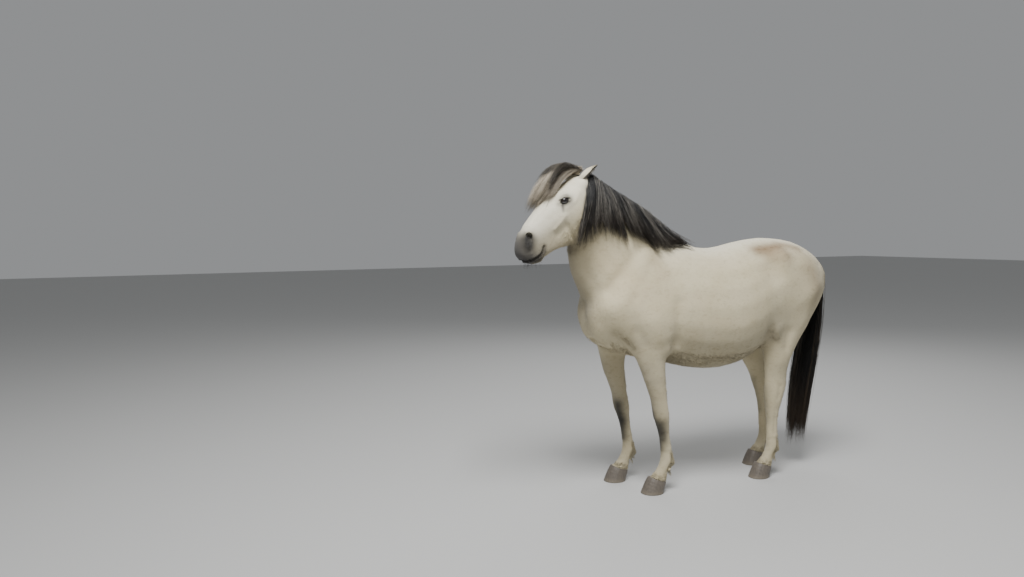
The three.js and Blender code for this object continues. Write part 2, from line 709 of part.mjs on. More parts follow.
// A flat lock that tapers to its tip. Its points are given from the root, which is sunk in a core, to the tip.
function lock(points, lifts, width, thickness, rings = 5) {
  const placed = points.map((p, i) => (lifts[i] === null ? p.clone() : clearOf(p, lifts[i])));
  const curve = new THREE.CatmullRomCurve3(placed, false, "centripetal");
  const sections = Array.from({ length: rings }, (_, j) => {
    const u = (j + 0.4) / (rings + 0.15);
    const middle = curve.getPointAt(u);
    const run = curve.getTangentAt(u);
    const out = bodySurface(middle).normal.clone();
    const wide = run.clone().cross(out).normalize();
    const face = wide.clone().cross(run).normalize();
    const full = Math.sin(Math.PI * (0.16 + 0.84 * u) ** 0.8) ** 0.6;
    const half = (width / 2) * Math.max(full, 0.12);
    const thick = (thickness / 2) * Math.max(full, 0.3);
    return [
      middle.clone().addScaledVector(wide, half),
      middle.clone().addScaledVector(face, thick),
      middle.clone().addScaledVector(wide, -half),
      middle.clone().addScaledVector(face, -thick),
    ];
  });
  return chain(sections, placed[0], placed[placed.length - 1]);
}

// A rounded core along a curve, for locks to root in.
function core(points, radii) {
  const curve = new THREE.CatmullRomCurve3(points);
  const around = 8;
  const count = points.length * 2;
  const rings = Array.from({ length: count }, (_, j) => {
    const u = j / (count - 1);
    const run = curve.getTangentAt(u);
    const wide = run.clone().cross(vec(0, 0, 1)).normalize();
    const face = wide.clone().cross(run).normalize();
    const size = Math.sin(Math.PI * (0.12 + 0.76 * u)) ** 0.5;
    return Array.from({ length: around }, (_, k) => {
      const turn = (2 * Math.PI * k) / around;
      return curve
        .getPointAt(u)
        .addScaledVector(wide, radii[0] * size * Math.cos(turn))
        .addScaledVector(face, radii[1] * size * Math.sin(turn));
    });
  });
  const first = points[0].clone().addScaledVector(curve.getTangentAt(0), -radii[1] * 0.4);
  const last = points[points.length - 1].clone().addScaledVector(curve.getTangentAt(1), radii[1] * 0.4);
  return loft(rings, first, last);
}

const CREST_SPREAD = 13; // the two rows of roots stand this far from the middle of the crest

// Where the roots of one side of the mane stand.
function crestPoint(station, side, lift = 8) {
  return neckPoint(station, 0).add(vec(0, side * CREST_SPREAD, 0)).addScaledVector(vec(-0.55, 0, 0.83), lift);
}

// The mane: roots from the poll to the withers, blown back more and more towards the withers.
function maneLocks(side, from, to, count, blow) {
  return Array.from({ length: count }, (_, j) => {
    const station = THREE.MathUtils.lerp(from, to, (j + 0.5) / count) + 0.12 * (random() - 0.5);
    const root = crestPoint(station, side);
    const drift = blow(station);
    const long = vary(drift.long, 0.1);
    const way = vec(drift.back, side * 0.2, -drift.fall).normalize();
    const layer = drift.layer[0] + drift.layer[1] * (j % 3);
    const rise = root.clone().add(vec(drift.back * 22, side * 26, drift.rise + 8 * (j % 2)));
    const mid = root.clone().add(vec(0, side * 60, 0)).addScaledVector(way, long * 0.36);
    const low = root.clone().add(vec(0, side * 74, 0)).addScaledVector(way, long * 0.7);
    const tip = root
      .clone()
      .add(vec(0, side * 70, 0))
      .addScaledVector(way, long)
      .add(vec(18 * (random() - 0.5), 0, 0));
    const points = [root, rise, mid, low, tip];
    return lock(points, [null, 12, layer, layer, 6 + layer * 0.6], vary(58, 0.12), 13, 4);
  });
}

const RIDGE_LIFT = 5; // the middle of the ridge lies this far above the crest

// One stretch of the mane: a ridge along the crest, with locks that fall to both sides.
function mane(from, to, counts, blow) {
  const stations = Array.from({ length: 5 }, (_, j) => THREE.MathUtils.lerp(from, to, j / 4));
  const ridge = core(
    stations.map((s) => clearOf(neckPoint(s, 0).addScaledVector(vec(-0.55, 0, 0.83), 4), RIDGE_LIFT)),
    [CREST_SPREAD + 10, 17],
  );
  return join([
    ridge,
    ...maneLocks(LEFT, from, to, counts[0], blow),
    ...maneLocks(RIGHT, from, to, counts[1], blow),
  ]);
}

const hanging = (station) => ({
  back: 0.26 * (4.75 - station),
  fall: 1,
  long: 334 - 40 * (5.9 - station),
  rise: 28,
  layer: [10, 8],
});
const blown = (station) => ({
  back: 1 - 0.38 * Math.max(station - 1.9, 0),
  fall: 0.54 + 0.36 * (station - 0.4),
  long: 140 + 54 * station,
  rise: 70,
  layer: [18, 20],
});

// The forelock springs from the poll and is blown forward over the forehead, to the right.
function forelock() {
  const crown = core([onHead(-18, -8, 50), onHead(4, 0, 54), onHead(26, 6, 60)], [24, 15]);
  const count = 10;
  const locks = Array.from({ length: count }, (_, j) => {
    const across = (j / (count - 1)) * 2 - 1;
    const layer = (j % 3) / 2;
    const side = 12 + 60 * across;
    const reach = vary(332, 0.05) - 24 * Math.max(-across, 0);
    return lock(
      [
        onHead(4 + 8 * (random() - 0.5), 16 * across, 44),
        onHead(12, 18 * across + 4, 66 + 22 * layer),
        onHead(reach * 0.36, side * 0.7 + 6, 104 + 66 * layer),
        onHead(reach * 0.66, side + 10, 108 + 68 * layer),
        onHead(reach, side + 18, 64 + 46 * layer),
      ],
      [null, 12, 12, 12, 10],
      vary(54, 0.12),
      12,
      4,
    );
  });
  return join([crown, ...locks]);
}

// The tail: a fleshy dock, and locks that hang from all round it.
const TAIL_PATH = [
  vec(710, 0, 1238),
  vec(762, 0, 1208),
  vec(788, 0, 1136),
  vec(780, 0, 1030),
  vec(750, 0, 900),
];

function tail() {
  const dock = core(TAIL_PATH, [30, 26]);
  const line = new THREE.CatmullRomCurve3(TAIL_PATH);
  const count = 15;
  const locks = Array.from({ length: count }, (_, j) => {
    const u = 0.16 + 0.8 * (j / (count - 1));
    const turn = j * 2.4;
    const [back, across] = [Math.cos(turn), Math.sin(turn)];
    const root = line.getPointAt(u);
    const end = vary(175, 0.3);
    const spread = 1 - 0.35 * u;
    return lock(
      [
        root,
        root.clone().add(vec(26 * back + 14, 34 * across, -60)),
        vec(718 + 42 * back, 62 * across, 700 - 60 * u),
        vec(676 + 44 * back, 60 * spread * across + 6 * (random() - 0.5), 440),
        vec(648 + 40 * back, 46 * spread * across, end),
      ],
      [null, 6, 6, null, null],
      vary(68, 0.1),
      26,
      4,
    );
  });
  return join([dock, ...locks]);
}

// Long hair behind each fetlock.
function feather(rows, side, stride) {
  const [front, rear, out, half] = smoothRows(rows)(176);
  const step = side === RIGHT ? stride : 0;
  const count = 7;
  return Array.from({ length: count }, (_, j) => {
    const turn = ((j / (count - 1)) * 2 - 1) * 1.2;
    const middle = vec((front + rear) / 2 + step, side * out, 0);
    const way = vec(Math.cos(turn), Math.sin(turn), 0);
    const reach = vec((rear - front) / 2, half, 0).multiply(way);
    const at = (share, z, extra) =>
      middle.clone().addScaledVector(reach, share).addScaledVector(way, extra).setZ(z + 4 * (random() - 0.5));
    const points = [at(0.7, 200, 0), at(1, 172, 1), at(1, 138, 5), at(1, 104, 11)];
    return lock(points, [null, null, null, null], 30, 15, 3);
  });
}

// Everything together

const skinOf = (solid) => grown(solid, GAP);
const clearBody = skinOf(body);
const eyes = { eye_left: eyeball(LEFT), eye_right: eyeball(RIGHT) };
const hooves = {
  hoof_fore_left: hoof(FORE_ROWS, LEFT, FORE_STRIDE, 60),
  hoof_fore_right: hoof(FORE_ROWS, RIGHT, FORE_STRIDE, 60),
  hoof_hind_left: hoof(HIND_ROWS, LEFT, HIND_STRIDE, 56),
  hoof_hind_right: hoof(HIND_ROWS, RIGHT, HIND_STRIDE, 56),
};
const ears = {
  ear_left: largest(ear(LEFT).subtract(clearBody)),
  ear_right: largest(ear(RIGHT).subtract(clearBody)),
};

[
  ["foreleg_left", FORE_ROWS, LEFT, FORE_STRIDE, "hoof_fore_left"],
  ["foreleg_right", FORE_ROWS, RIGHT, FORE_STRIDE, "hoof_fore_right"],
  ["hindleg_left", HIND_ROWS, LEFT, HIND_STRIDE, "hoof_hind_left"],
  ["hindleg_right", HIND_ROWS, RIGHT, HIND_STRIDE, "hoof_hind_right"],
].forEach(([name, rows, side, stride, foot]) => {
  const haired = join([bodyNodes[name], ...feather(rows, side, stride)]);
  bodyNodes[name] = largest(haired.subtract(skinOf(hooves[foot])));
});

// Each hair node is cut clear of the body, and of the nodes made before it.
const hair = {};
const clearFace = join([LEFT, RIGHT].flatMap((side) => [skinOf(lids(side)), skinOf(ear(side).hull())]));
[
  ["forelock", () => forelock()],
  ["mane_front", () => mane(5.92, 3.05, [10, 6], hanging)],
  ["mane_back", () => mane(2.85, 0.5, [7, 5], blown)],
  ["tail", () => tail()],
].forEach(([name, make]) => {
  let solid = largest(make()).subtract(clearFace).subtract(clearBody);
  Object.values(hair).forEach((other) => {
    solid = solid.subtract(skinOf(other));
  });
  hair[name] = largest(solid);
});

const COAT = new THREE.MeshStandardMaterial({ color: 0xd8d2c2, roughness: 0.85, metalness: 0 });
const MANE = new THREE.MeshStandardMaterial({ color: 0x3a3a3c, roughness: 0.7, metalness: 0 });
const FORELOCK = new THREE.MeshStandardMaterial({ color: 0x9a8c78, roughness: 0.7, metalness: 0 });
const TAIL = new THREE.MeshStandardMaterial({ color: 0x1f1c1b, roughness: 0.7, metalness: 0 });
const HORN = new THREE.MeshStandardMaterial({ color: 0x4a443d, roughness: 0.55, metalness: 0 });
const EYE = new THREE.MeshStandardMaterial({ color: 0x120c09, roughness: 0.08, metalness: 0 });

function materialOf(name) {
  if (name.startsWith("hoof")) return HORN;
  if (name.startsWith("eye")) return EYE;
  if (name.startsWith("mane")) return MANE;
  if (name === "forelock") return FORELOCK;
  if (name === "tail") return TAIL;
  return COAT;
}

// The origin lies on the floor, in the middle of the horse's length and width.
const solids = { ...bodyNodes, ...ears, ...eyes, ...hooves, ...hair };
const extent = new THREE.Box3();
Object.values(solids).forEach((solid) => {
  const box = solid.boundingBox();
  extent.expandByPoint(vec(...box.min)).expandByPoint(vec(...box.max));
});
const centre = extent.getCenter(vec(0, 0, 0)).setZ(0);

function shapeOf(solid) {
  const { points, faces } = meshOf(solid);
  return new THREE.BufferGeometry().setFromPoints(points).setIndex(faces.flat());
}

const horse = new THREE.Group();
Object.entries(solids).forEach(([name, solid]) => {
  let shape = shapeOf(solid).translate(-centre.x, -centre.y, 0);
  for (let pass = 0; pass < 3; pass += 1) shape = shapeOf(parted(largest(solidOf(shape))));
  const mesh = new THREE.Mesh(shape, materialOf(name));
  mesh.name = name;
  horse.add(mesh);
});

export default horse;
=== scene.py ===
# %% [markdown]
# # An Icelandic horse
# The horse stands side on with its head up and a little towards us, its mane blown back and its
# forelock blown forward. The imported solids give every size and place. This script dresses them:
# one smooth skin over the body, real eyes, ears and hooves, and thousands of fine locks of hair.

import math

import bpy
import numpy as np
from mathutils import Matrix, Vector
from mathutils.bvhtree import BVHTree


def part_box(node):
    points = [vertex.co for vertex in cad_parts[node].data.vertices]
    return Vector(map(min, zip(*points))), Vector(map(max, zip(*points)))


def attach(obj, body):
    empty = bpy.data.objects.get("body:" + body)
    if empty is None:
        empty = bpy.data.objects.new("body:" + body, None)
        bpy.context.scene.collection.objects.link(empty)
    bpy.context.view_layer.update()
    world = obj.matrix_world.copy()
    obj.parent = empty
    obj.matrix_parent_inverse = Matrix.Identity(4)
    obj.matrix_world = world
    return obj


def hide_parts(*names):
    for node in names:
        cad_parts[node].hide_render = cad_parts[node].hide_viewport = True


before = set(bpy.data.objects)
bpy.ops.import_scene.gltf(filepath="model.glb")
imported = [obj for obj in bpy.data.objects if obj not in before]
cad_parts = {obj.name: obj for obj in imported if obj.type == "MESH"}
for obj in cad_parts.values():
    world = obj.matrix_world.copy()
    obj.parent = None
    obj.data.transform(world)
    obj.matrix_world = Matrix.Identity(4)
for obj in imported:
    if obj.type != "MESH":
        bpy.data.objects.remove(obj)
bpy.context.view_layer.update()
chance = np.random.default_rng(11)
LEFT, RIGHT = -1, 1

# %% [markdown]
# The head has a measure of its own: millimetres along the face from the poll to the lips, to the
# right of the midline, and up from the head's axis. It points down and is turned a little to the
# left. In the room's axes every lip and lid would be a slanted sum; here they read like a drawing.

# %% The measure of the head
HEAD_PITCH, HEAD_YAW, HEAD_ROLL = (math.radians(angle) for angle in (42, 13, 4))
FACE_ALONG = Vector(
    (
        -math.cos(HEAD_PITCH) * math.cos(HEAD_YAW),
        -math.cos(HEAD_PITCH) * math.sin(HEAD_YAW),
        -math.sin(HEAD_PITCH),
    )
)
LEVEL_UP = Vector(
    (
        -math.sin(HEAD_PITCH) * math.cos(HEAD_YAW),
        -math.sin(HEAD_PITCH) * math.sin(HEAD_YAW),
        math.cos(HEAD_PITCH),
    )
)
FACE_UP = Matrix.Rotation(HEAD_ROLL, 3, FACE_ALONG) @ LEVEL_UP
FACE_RIGHT = FACE_ALONG.cross(FACE_UP)
EYE_PLACE = (217, 71, 17)
EYE_RADIUS = 22.0
print("right of the head is", [round(v, 2) for v in FACE_RIGHT])

# %% [markdown]
# The body is placed in millimetres too, from the middle of the trunk, with the floor at zero, the
# head towards -X and the left side at -Y, as the solids were drawn. The left eyeball is a sphere, so
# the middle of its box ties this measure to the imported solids.

# %% The measure of the body
POLL_DRAWN = Vector((-800, -66, 1722))
eye_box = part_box("eye_left")
eye_middle = (eye_box[0] + eye_box[1]) / 2
eye_drawn = (
    POLL_DRAWN
    + FACE_ALONG * EYE_PLACE[0]
    + FACE_RIGHT * LEFT * EYE_PLACE[1]
    + FACE_UP * EYE_PLACE[2]
)
SHIFT = eye_middle.x * 1000 - eye_drawn.x


def spot(x, y, z):
    """A place on the body, from millimetres to metres."""
    return Vector(((x + SHIFT) / 1000, y / 1000, z / 1000))


POLL = spot(*POLL_DRAWN)


def on_head(along, right, up):
    """A place on the head, from millimetres in its own measure to metres."""
    return POLL + (FACE_ALONG * along + FACE_RIGHT * right + FACE_UP * up) / 1000


def head_measure(points):
    """Places in metres, as millimetres in the head's own measure."""
    axes = np.array([FACE_ALONG, FACE_RIGHT, FACE_UP]).T
    return (np.asarray(points) - np.array(POLL)) @ axes * 1000


eye_off = (eye_middle - on_head(EYE_PLACE[0], -EYE_PLACE[1], EYE_PLACE[2])).length * 1000
print("measure shifted by", round(SHIFT, 2), "mm; the eye is off by", round(eye_off, 3), "mm")

# %% [markdown]
# The camera stands a little ahead of the horse's left side, at a standing person's eye height, and
# looks slightly down. Its turn and place were worked out from the horse's own proportions, so that
# the render can be laid over the picture it follows. The floor is plain and pale.

# %% Camera and floor
PICTURE_WIDTH = 1024
FOCAL_PIXELS = 800.0
SENSOR_WIDTH = 36
CAMERA_TURN = math.radians(20.094)
CAMERA_DOWN = math.radians(3.934)
CAMERA_ROLL = 0.0127
CAMERA_PLACE = (-2617.6, -3929.4, 1430.8)
FLOOR_WIDTH = 60
camera_data = bpy.data.cameras.new("camera")
camera = bpy.data.objects.new("camera", camera_data)
bpy.context.scene.collection.objects.link(camera)
camera_data.sensor_width = SENSOR_WIDTH
camera_data.lens = FOCAL_PIXELS / PICTURE_WIDTH * SENSOR_WIDTH
across = Vector((math.cos(CAMERA_TURN), -math.sin(CAMERA_TURN), 0))
look = Vector(
    (
        math.sin(CAMERA_TURN) * math.cos(CAMERA_DOWN),
        math.cos(CAMERA_TURN) * math.cos(CAMERA_DOWN),
        -math.sin(CAMERA_DOWN),
    )
)
upward = across.cross(look)
camera_across = across * math.cos(CAMERA_ROLL) - upward * math.sin(CAMERA_ROLL)
camera_upward = across * math.sin(CAMERA_ROLL) + upward * math.cos(CAMERA_ROLL)
turn = Matrix((camera_across, camera_upward, -look)).transposed()
camera.matrix_world = Matrix.Translation(spot(*CAMERA_PLACE)) @ turn.to_4x4()
bpy.context.scene.camera = camera

bpy.ops.object.select_all(action="DESELECT")
bpy.ops.mesh.primitive_plane_add(size=FLOOR_WIDTH, location=(0, 0, 0))
floor = bpy.context.object
floor.name = "floor"
print("camera at", [round(v, 2) for v in camera.matrix_world.translation])

# %% [markdown]
# Soft light comes from a bright cloudy sky. A sun lamp would throw hard shadows, so the light is a
# pale world, one large square lamp above and to the left of the camera, and a weak one behind that
# lifts the outline.

# %% Light
SKY_COLOUR = (0.88, 0.9, 0.92, 1)
SKY_STRENGTH = 0.33
LIT_MIDDLE = Vector((0, 0, 0.9))
world = bpy.data.worlds.new("sky")
bpy.context.scene.world = world
world.use_nodes = True
sky = world.node_tree.nodes["Background"]
sky.inputs["Color"].default_value = SKY_COLOUR
sky.inputs["Strength"].default_value = SKY_STRENGTH


def soft_lamp(title, place, size, power):
    """A square lamp that faces the middle of the horse."""
    lamp = bpy.data.lights.new(title, "AREA")
    lamp.size = size
    lamp.energy = power
    piece = bpy.data.objects.new(title, lamp)
    bpy.context.scene.collection.objects.link(piece)
    piece.location = place
    piece.rotation_euler = (LIT_MIDDLE - Vector(place)).to_track_quat("-Z", "Y").to_euler()
    print(title, "lamp,", size, "m wide,", power, "W")


soft_lamp("key", (-1.6, -2.4, 5.4), 2.2, 430)
soft_lamp("back", (2.5, 3.6, 4.6), 4.0, 120)

# %% [markdown]
# Materials are built from nodes. A small helper makes a material with a plain shader and hands its
# nodes back, so that each material's own cell can be short.


# %% A helper for materials
class Stuff:
    """A material, and short ways to add nodes to it."""

    def __init__(self, title, colour=(0.5, 0.5, 0.5), roughness=0.6):
        self.material = bpy.data.materials.new(title)
        self.material.use_nodes = True
        self.nodes = self.material.node_tree.nodes
        self.links = self.material.node_tree.links
        self.shader = self.nodes["Principled BSDF"]
        self.set("Base Color", (*colour, 1))
        self.set("Roughness", roughness)

    def set(self, socket, value):
        self.shader.inputs[socket].default_value = value

    def add(self, kind, **values):
        node = self.nodes.new(kind)
        for name, value in values.items():
            setattr(node, name, value)
        return node

    def plug(self, value, socket):
        """Links a node's output to a socket, or sets a plain value there."""
        if hasattr(value, "is_linked"):
            self.links.new(value, socket)
        elif isinstance(value, tuple) and len(value) == 3:
            socket.default_value = (*value, 1)
        else:
            socket.default_value = value

    def painted(self, name, output="Color"):
        return self.add("ShaderNodeAttribute", attribute_name=name).outputs[output]

    def noise(self, scale, detail=3.0, stretch=(1.0, 1.0, 1.0)):
        mapping = self.add("ShaderNodeMapping")
        mapping.inputs["Scale"].default_value = stretch
        self.plug(self.add("ShaderNodeTexCoord").outputs["Object"], mapping.inputs["Vector"])
        node = self.add("ShaderNodeTexNoise")
        node.inputs["Scale"].default_value = scale
        node.inputs["Detail"].default_value = detail
        self.plug(mapping.outputs["Vector"], node.inputs["Vector"])
        return node.outputs["Fac"]

    def steps(self, value, low, high):
        """0 below low, 1 above high, and smooth between."""
        node = self.add("ShaderNodeMapRange", interpolation_type="SMOOTHSTEP")
        self.plug(value, node.inputs["Value"])
        node.inputs["From Min"].default_value = low
        node.inputs["From Max"].default_value = high
        return node.outputs["Result"]

    def sum(self, kind, first, second):
        node = self.add("ShaderNodeMath", operation=kind)
        self.plug(first, node.inputs[0])
        self.plug(second, node.inputs[1])
        return node.outputs[0]

    def mix(self, share, first, second, blend="MIX"):
        node = self.add("ShaderNodeMix", data_type="RGBA", blend_type=blend)
        self.plug(share, node.inputs[0])
        self.plug(first, node.inputs[6])
        self.plug(second, node.inputs[7])
        return node.outputs[2]

    def bump(self, height, distance, strength=1.0, under=None):
        node = self.add("ShaderNodeBump")
        node.inputs["Strength"].default_value = strength
        node.inputs["Distance"].default_value = distance
        self.plug(height, node.inputs["Height"])
        if under is not None:
            self.plug(under, node.inputs["Normal"])
        return node.outputs["Normal"]


floor.data.materials.append(Stuff("pale_floor", (0.5, 0.5, 0.49), 0.9).material)
print("floor is", FLOOR_WIDTH, "m wide")

# %% [markdown]
# The pieces are shaped in one way: their points are read as an array, moved, and written
# back. These helpers select, read, write and ease them.


# %% Helpers for shapes
def only(*pieces):
    """Selects these pieces and nothing else."""
    bpy.ops.object.select_all(action="DESELECT")
    for piece in pieces:
        piece.select_set(True)
    bpy.context.view_layer.objects.active = pieces[0]


def modify(piece, kind, **values):
    """Adds a modifier, sets its values and applies it."""
    only(piece)
    modifier = piece.modifiers.new(kind.lower(), kind)
    for name, value in values.items():
        setattr(modifier, name, value)
    bpy.ops.object.modifier_apply(modifier=modifier.name)


def read(items, field, width=3):
    """One field of many items as an array."""
    flat = np.empty(len(items) * width)
    items.foreach_get(field, flat)
    return flat.reshape(-1, width)


def places(piece):
    return read(piece.data.vertices, "co")


def edges_of(piece):
    """The two end points of each edge, by number."""
    return read(piece.data.edges, "vertices", 2).astype(int)


def set_places(piece, points):
    piece.data.vertices.foreach_set("co", np.asarray(points, np.float32).ravel())
    piece.data.update()


def between(values, low, high):
    """0 up to low, 1 from high on, and smooth between."""
    share = np.clip((values - low) / (high - low), 0, 1)
    return share * share * (3 - 2 * share)


DRAWN_IN, LET_OUT = 0.52, -0.5


def eased(points, edges, weights, passes):
    """Points drawn to their neighbours, and back a little, so that creases go and bulk stays."""
    counts = np.bincount(edges.ravel(), minlength=len(points)).astype(float)[:, None]
    for share in (DRAWN_IN, LET_OUT) * passes:
        total = np.stack(
            [
                np.bincount(edges[:, 0], points[edges[:, 1], k], len(points))
                + np.bincount(edges[:, 1], points[edges[:, 0], k], len(points))
                for k in range(3)
            ],
            axis=1,
        )
        points = points + (total / counts - points) * weights[:, None] * share
    return points


# %% [markdown]
# The skin is one closed surface over head, neck, trunk and legs. Copies of those solids are joined,
# swelled until they overlap, and remeshed, which fuses them and leaves even faces to shape. The
# solids' own forms stay, and only their flat facets are smoothed away.

# %% The skin
FLESH = ["head", "neck", "torso", "foreleg_left", "foreleg_right", "hindleg_left", "hindleg_right"]
SWELL = 0.0016
SKIN_FACE = 0.0123
MERGE_WITHIN = 0.00002


def copy_of(names, title, swell=0.0):
    """One new piece from copies of solids, with their loose triangles merged."""
    bpy.ops.object.select_all(action="DESELECT")
    copies = []
    for name in names:
        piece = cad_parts[name].copy()
        piece.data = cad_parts[name].data.copy()
        piece.parent = None
        for key in list(piece.keys()):
            del piece[key]
        bpy.context.scene.collection.objects.link(piece)
        piece.select_set(True)
        copies.append(piece)
    bpy.context.view_layer.objects.active = copies[0]
    if len(copies) > 1:
        bpy.ops.object.join()
    piece = bpy.context.object
    piece.name = piece.data.name = title
    piece.data.materials.clear()
    bpy.ops.object.mode_set(mode="EDIT")
    bpy.ops.mesh.select_all(action="SELECT")
    bpy.ops.mesh.remove_doubles(threshold=MERGE_WITHIN)
    bpy.ops.transform.shrink_fatten(value=swell)
    bpy.ops.object.mode_set(mode="OBJECT")
    return piece


skin = copy_of(FLESH, "skin", SWELL)
modify(skin, "REMESH", mode="VOXEL", voxel_size=SKIN_FACE, adaptivity=0)
print("skin has", len(skin.data.vertices), "points after the remesh")

# %% [markdown]
# Facets and the seams between the solids are eased away. The broad trunk takes many passes, but the
# head and the legs only a few, or they would lose their bones.

# %% Smoothing the skin
WHOLE_PASSES, TRUNK_PASSES, LIMB_PASSES = 4, 46, 7
points = places(skin)
edges = edges_of(skin)
face_along = head_measure(points)[:, 0]
on_face = between(face_along, -40, 60) * between(points[:, 2], 1.1, 1.25)
on_leg = between(-points[:, 2], -0.8, -0.66)
limbs = np.clip(on_face + on_leg, 0, 1)
points = eased(points, edges, np.ones(len(points)), WHOLE_PASSES)
points = eased(points, edges, np.clip(1 - on_face - on_leg, 0, 1), TRUNK_PASSES)
points = eased(points, edges, limbs * 0.8, LIMB_PASSES)
set_places(skin, points)
print("skin eased in", WHOLE_PASSES + TRUNK_PASSES + LIMB_PASSES, "passes")

# %% [markdown]
# The head and the lower legs need finer faces than the trunk. A finer remesh would make the whole
# skin too heavy, so only their faces are cut in four. The muzzle and the places round the eyes are
# cut once more, and the lids and the nostrils a third time.


# %% Finer faces on the head and the legs
def subdivide_where(piece, chosen):
    """Cuts each chosen face in four."""
    only(piece)
    picked = chosen(read(piece.data.polygons, "center"))
    piece.data.vertices.foreach_set("select", np.zeros(len(piece.data.vertices), bool))
    piece.data.edges.foreach_set("select", np.zeros(len(piece.data.edges), bool))
    piece.data.polygons.foreach_set("select", picked)
    bpy.ops.object.mode_set(mode="EDIT")
    bpy.ops.mesh.select_mode(type="FACE")
    bpy.ops.mesh.subdivide(number_cuts=1, smoothness=0.0)
    bpy.ops.object.mode_set(mode="OBJECT")
    print("skin has", len(piece.data.vertices), "points after a cut")


def whole_head_or_leg(middles):
    along, right, up = head_measure(middles).T
    head = (along > -30) & (up > -235) & (np.abs(right) < 150)
    return head | (middles[:, 2] < 0.6)


def fine_face(middles):
    along, right, up = head_measure(middles).T
    muzzle = (along > 425) & (up > -160)
    eye = np.hypot(along - EYE_PLACE[0], up - EYE_PLACE[2]) < 62
    return (muzzle | eye) & (np.abs(right) < 150)


def finest_face(middles):
    along, right, up = head_measure(middles).T
    eye = np.hypot(along - EYE_PLACE[0], up - EYE_PLACE[2]) < 34
    nostril = np.hypot(along - 508, up - 8) < 36
    return (eye & (np.abs(right) > 45)) | (nostril & (np.abs(right) > 16))


for region in (whole_head_or_leg, fine_face, finest_face):
    subdivide_where(skin, region)
points = places(skin)
edges = edges_of(skin)
set_places(skin, eased(points, edges, np.ones(len(points)), 3))
only(skin)
bpy.ops.object.shade_smooth()

# %% [markdown]
# The solids carry stout locks behind the fetlocks. Here real hair takes their place, so the skin is
# trimmed to the pastern alone. A table gives its height, front, rear and half width at each level
# of the left leg. The right leg is the same, carried along by its step, which grows from the top of
# the leg to the knee or the hock: how far, from what height, and down to what height.

# %% Trimming the pasterns
FORE_STEP = (-88, 1010, 700)
HIND_STEP = (136, 860, 400)
FORE_MIDDLE, HIND_MIDDLE = 139, 123
FORE_PASTERN = [
    (88, -428, -338, 39),
    (120, -402, -324, 34),
    (148, -384, -312, 35),
    (176, -374, -298, 37),
    (216, -374, -304, 31),
    (232, -375, -302, 30),
]
HIND_PASTERN = [
    (88, 288, 374, 38),
    (120, 314, 386, 33),
    (148, 332, 398, 34),
    (176, 342, 413, 37),
    (216, 342, 412, 32),
    (232, 341, 415, 31),
]


def trim(points, rows, middle, stride):
    """Draws the points outside a pastern onto its oval section, middle mm from the midline."""
    heights, front, rear, half = np.array(rows, float).T
    x, y, z = points[:, 0] * 1000 - SHIFT, points[:, 1] * 1000, points[:, 2] * 1000
    level = (z > heights[0]) & (z < heights[-1]) & ((x < 0) == (front[0] < 0))
    for side in (LEFT, RIGHT):
        carried = stride if side == RIGHT else 0
        front_x = np.interp(z, heights, front) + carried
        rear_x = np.interp(z, heights, rear) + carried
        mid, reach = (front_x + rear_x) / 2, (rear_x - front_x) / 2
        across, wide = y - side * middle, np.interp(z, heights, half)
        out = np.hypot((x - mid) / reach, across / wide)
        over = level & (np.sign(y) == side) & (out > 1)
        points[over, 0] = (mid[over] + (x - mid)[over] / out[over] + SHIFT) / 1000
        points[over, 1] = (side * middle + across[over] / out[over]) / 1000
        print(np.count_nonzero(over), "points trimmed")
    return points


points = trim(places(skin), FORE_PASTERN, FORE_MIDDLE, FORE_STEP[0])
points = trim(points, HIND_PASTERN, HIND_MIDDLE, HIND_STEP[0])
low = between(points[:, 2], 0.07, 0.09) * between(-points[:, 2], -0.25, -0.22)
set_places(skin, eased(points, edges, low, 14))

# %% [markdown]
# Muscles, bones and veins show through the short coat. They could be brushed on by hand, but then
# nobody could read or mend them later. Here each is one stroke: how wide it reaches, how far it
# lifts the skin or, below zero, presses it in, and a line of places on the body. Every stroke is
# given once and made on both sides. On a leg it moves with that leg's own step.


# %% How a stroke works
def far_from(points, path):
    """How far each point lies from a line through the places of a path, in metres."""
    best = np.full(len(points), np.inf)
    for start, end in zip(path[: max(len(path) - 1, 1)], path[1:] if len(path) > 1 else path):
        run = end - start
        share = np.clip((points - start) @ run / max(run @ run, 1e-12), 0, 1)
        best = np.minimum(best, np.linalg.norm(points - start - share[:, None] * run, axis=1))
    return best


def close_to(points, path, reach):
    """Which points lie near a path, and how near: 1 on it, falling to 0."""
    margin = 2.6 * reach / 1000
    near = (points > path.min(0) - margin) & (points < path.max(0) + margin)
    picked = np.nonzero(np.all(near, axis=1))[0]
    return picked, np.exp(-((far_from(points[picked], path) * 1000 / reach) ** 2))


def both_sides(path, place_of):
    """The path on the left and on the right, or once where it follows the midline."""
    sides = (LEFT,) if all(place[1] == 0 for place in path) else (LEFT, RIGHT)
    return [np.array([place_of(x, side * y, z) for x, y, z in path]) for side in sides]


def sculpt(piece, strokes, place_of):
    """Lifts the skin along each stroke, on both sides."""
    points = places(piece)
    out = read(piece.data.vertices, "normal")
    for reach, height, *path in strokes:
        for line in both_sides(path, place_of):
            picked, share = close_to(points, line, reach)
            points[picked] += out[picked] * (share * height / 1000)[:, None]
    set_places(piece, points)
    print(len(strokes), "strokes on", piece.name)


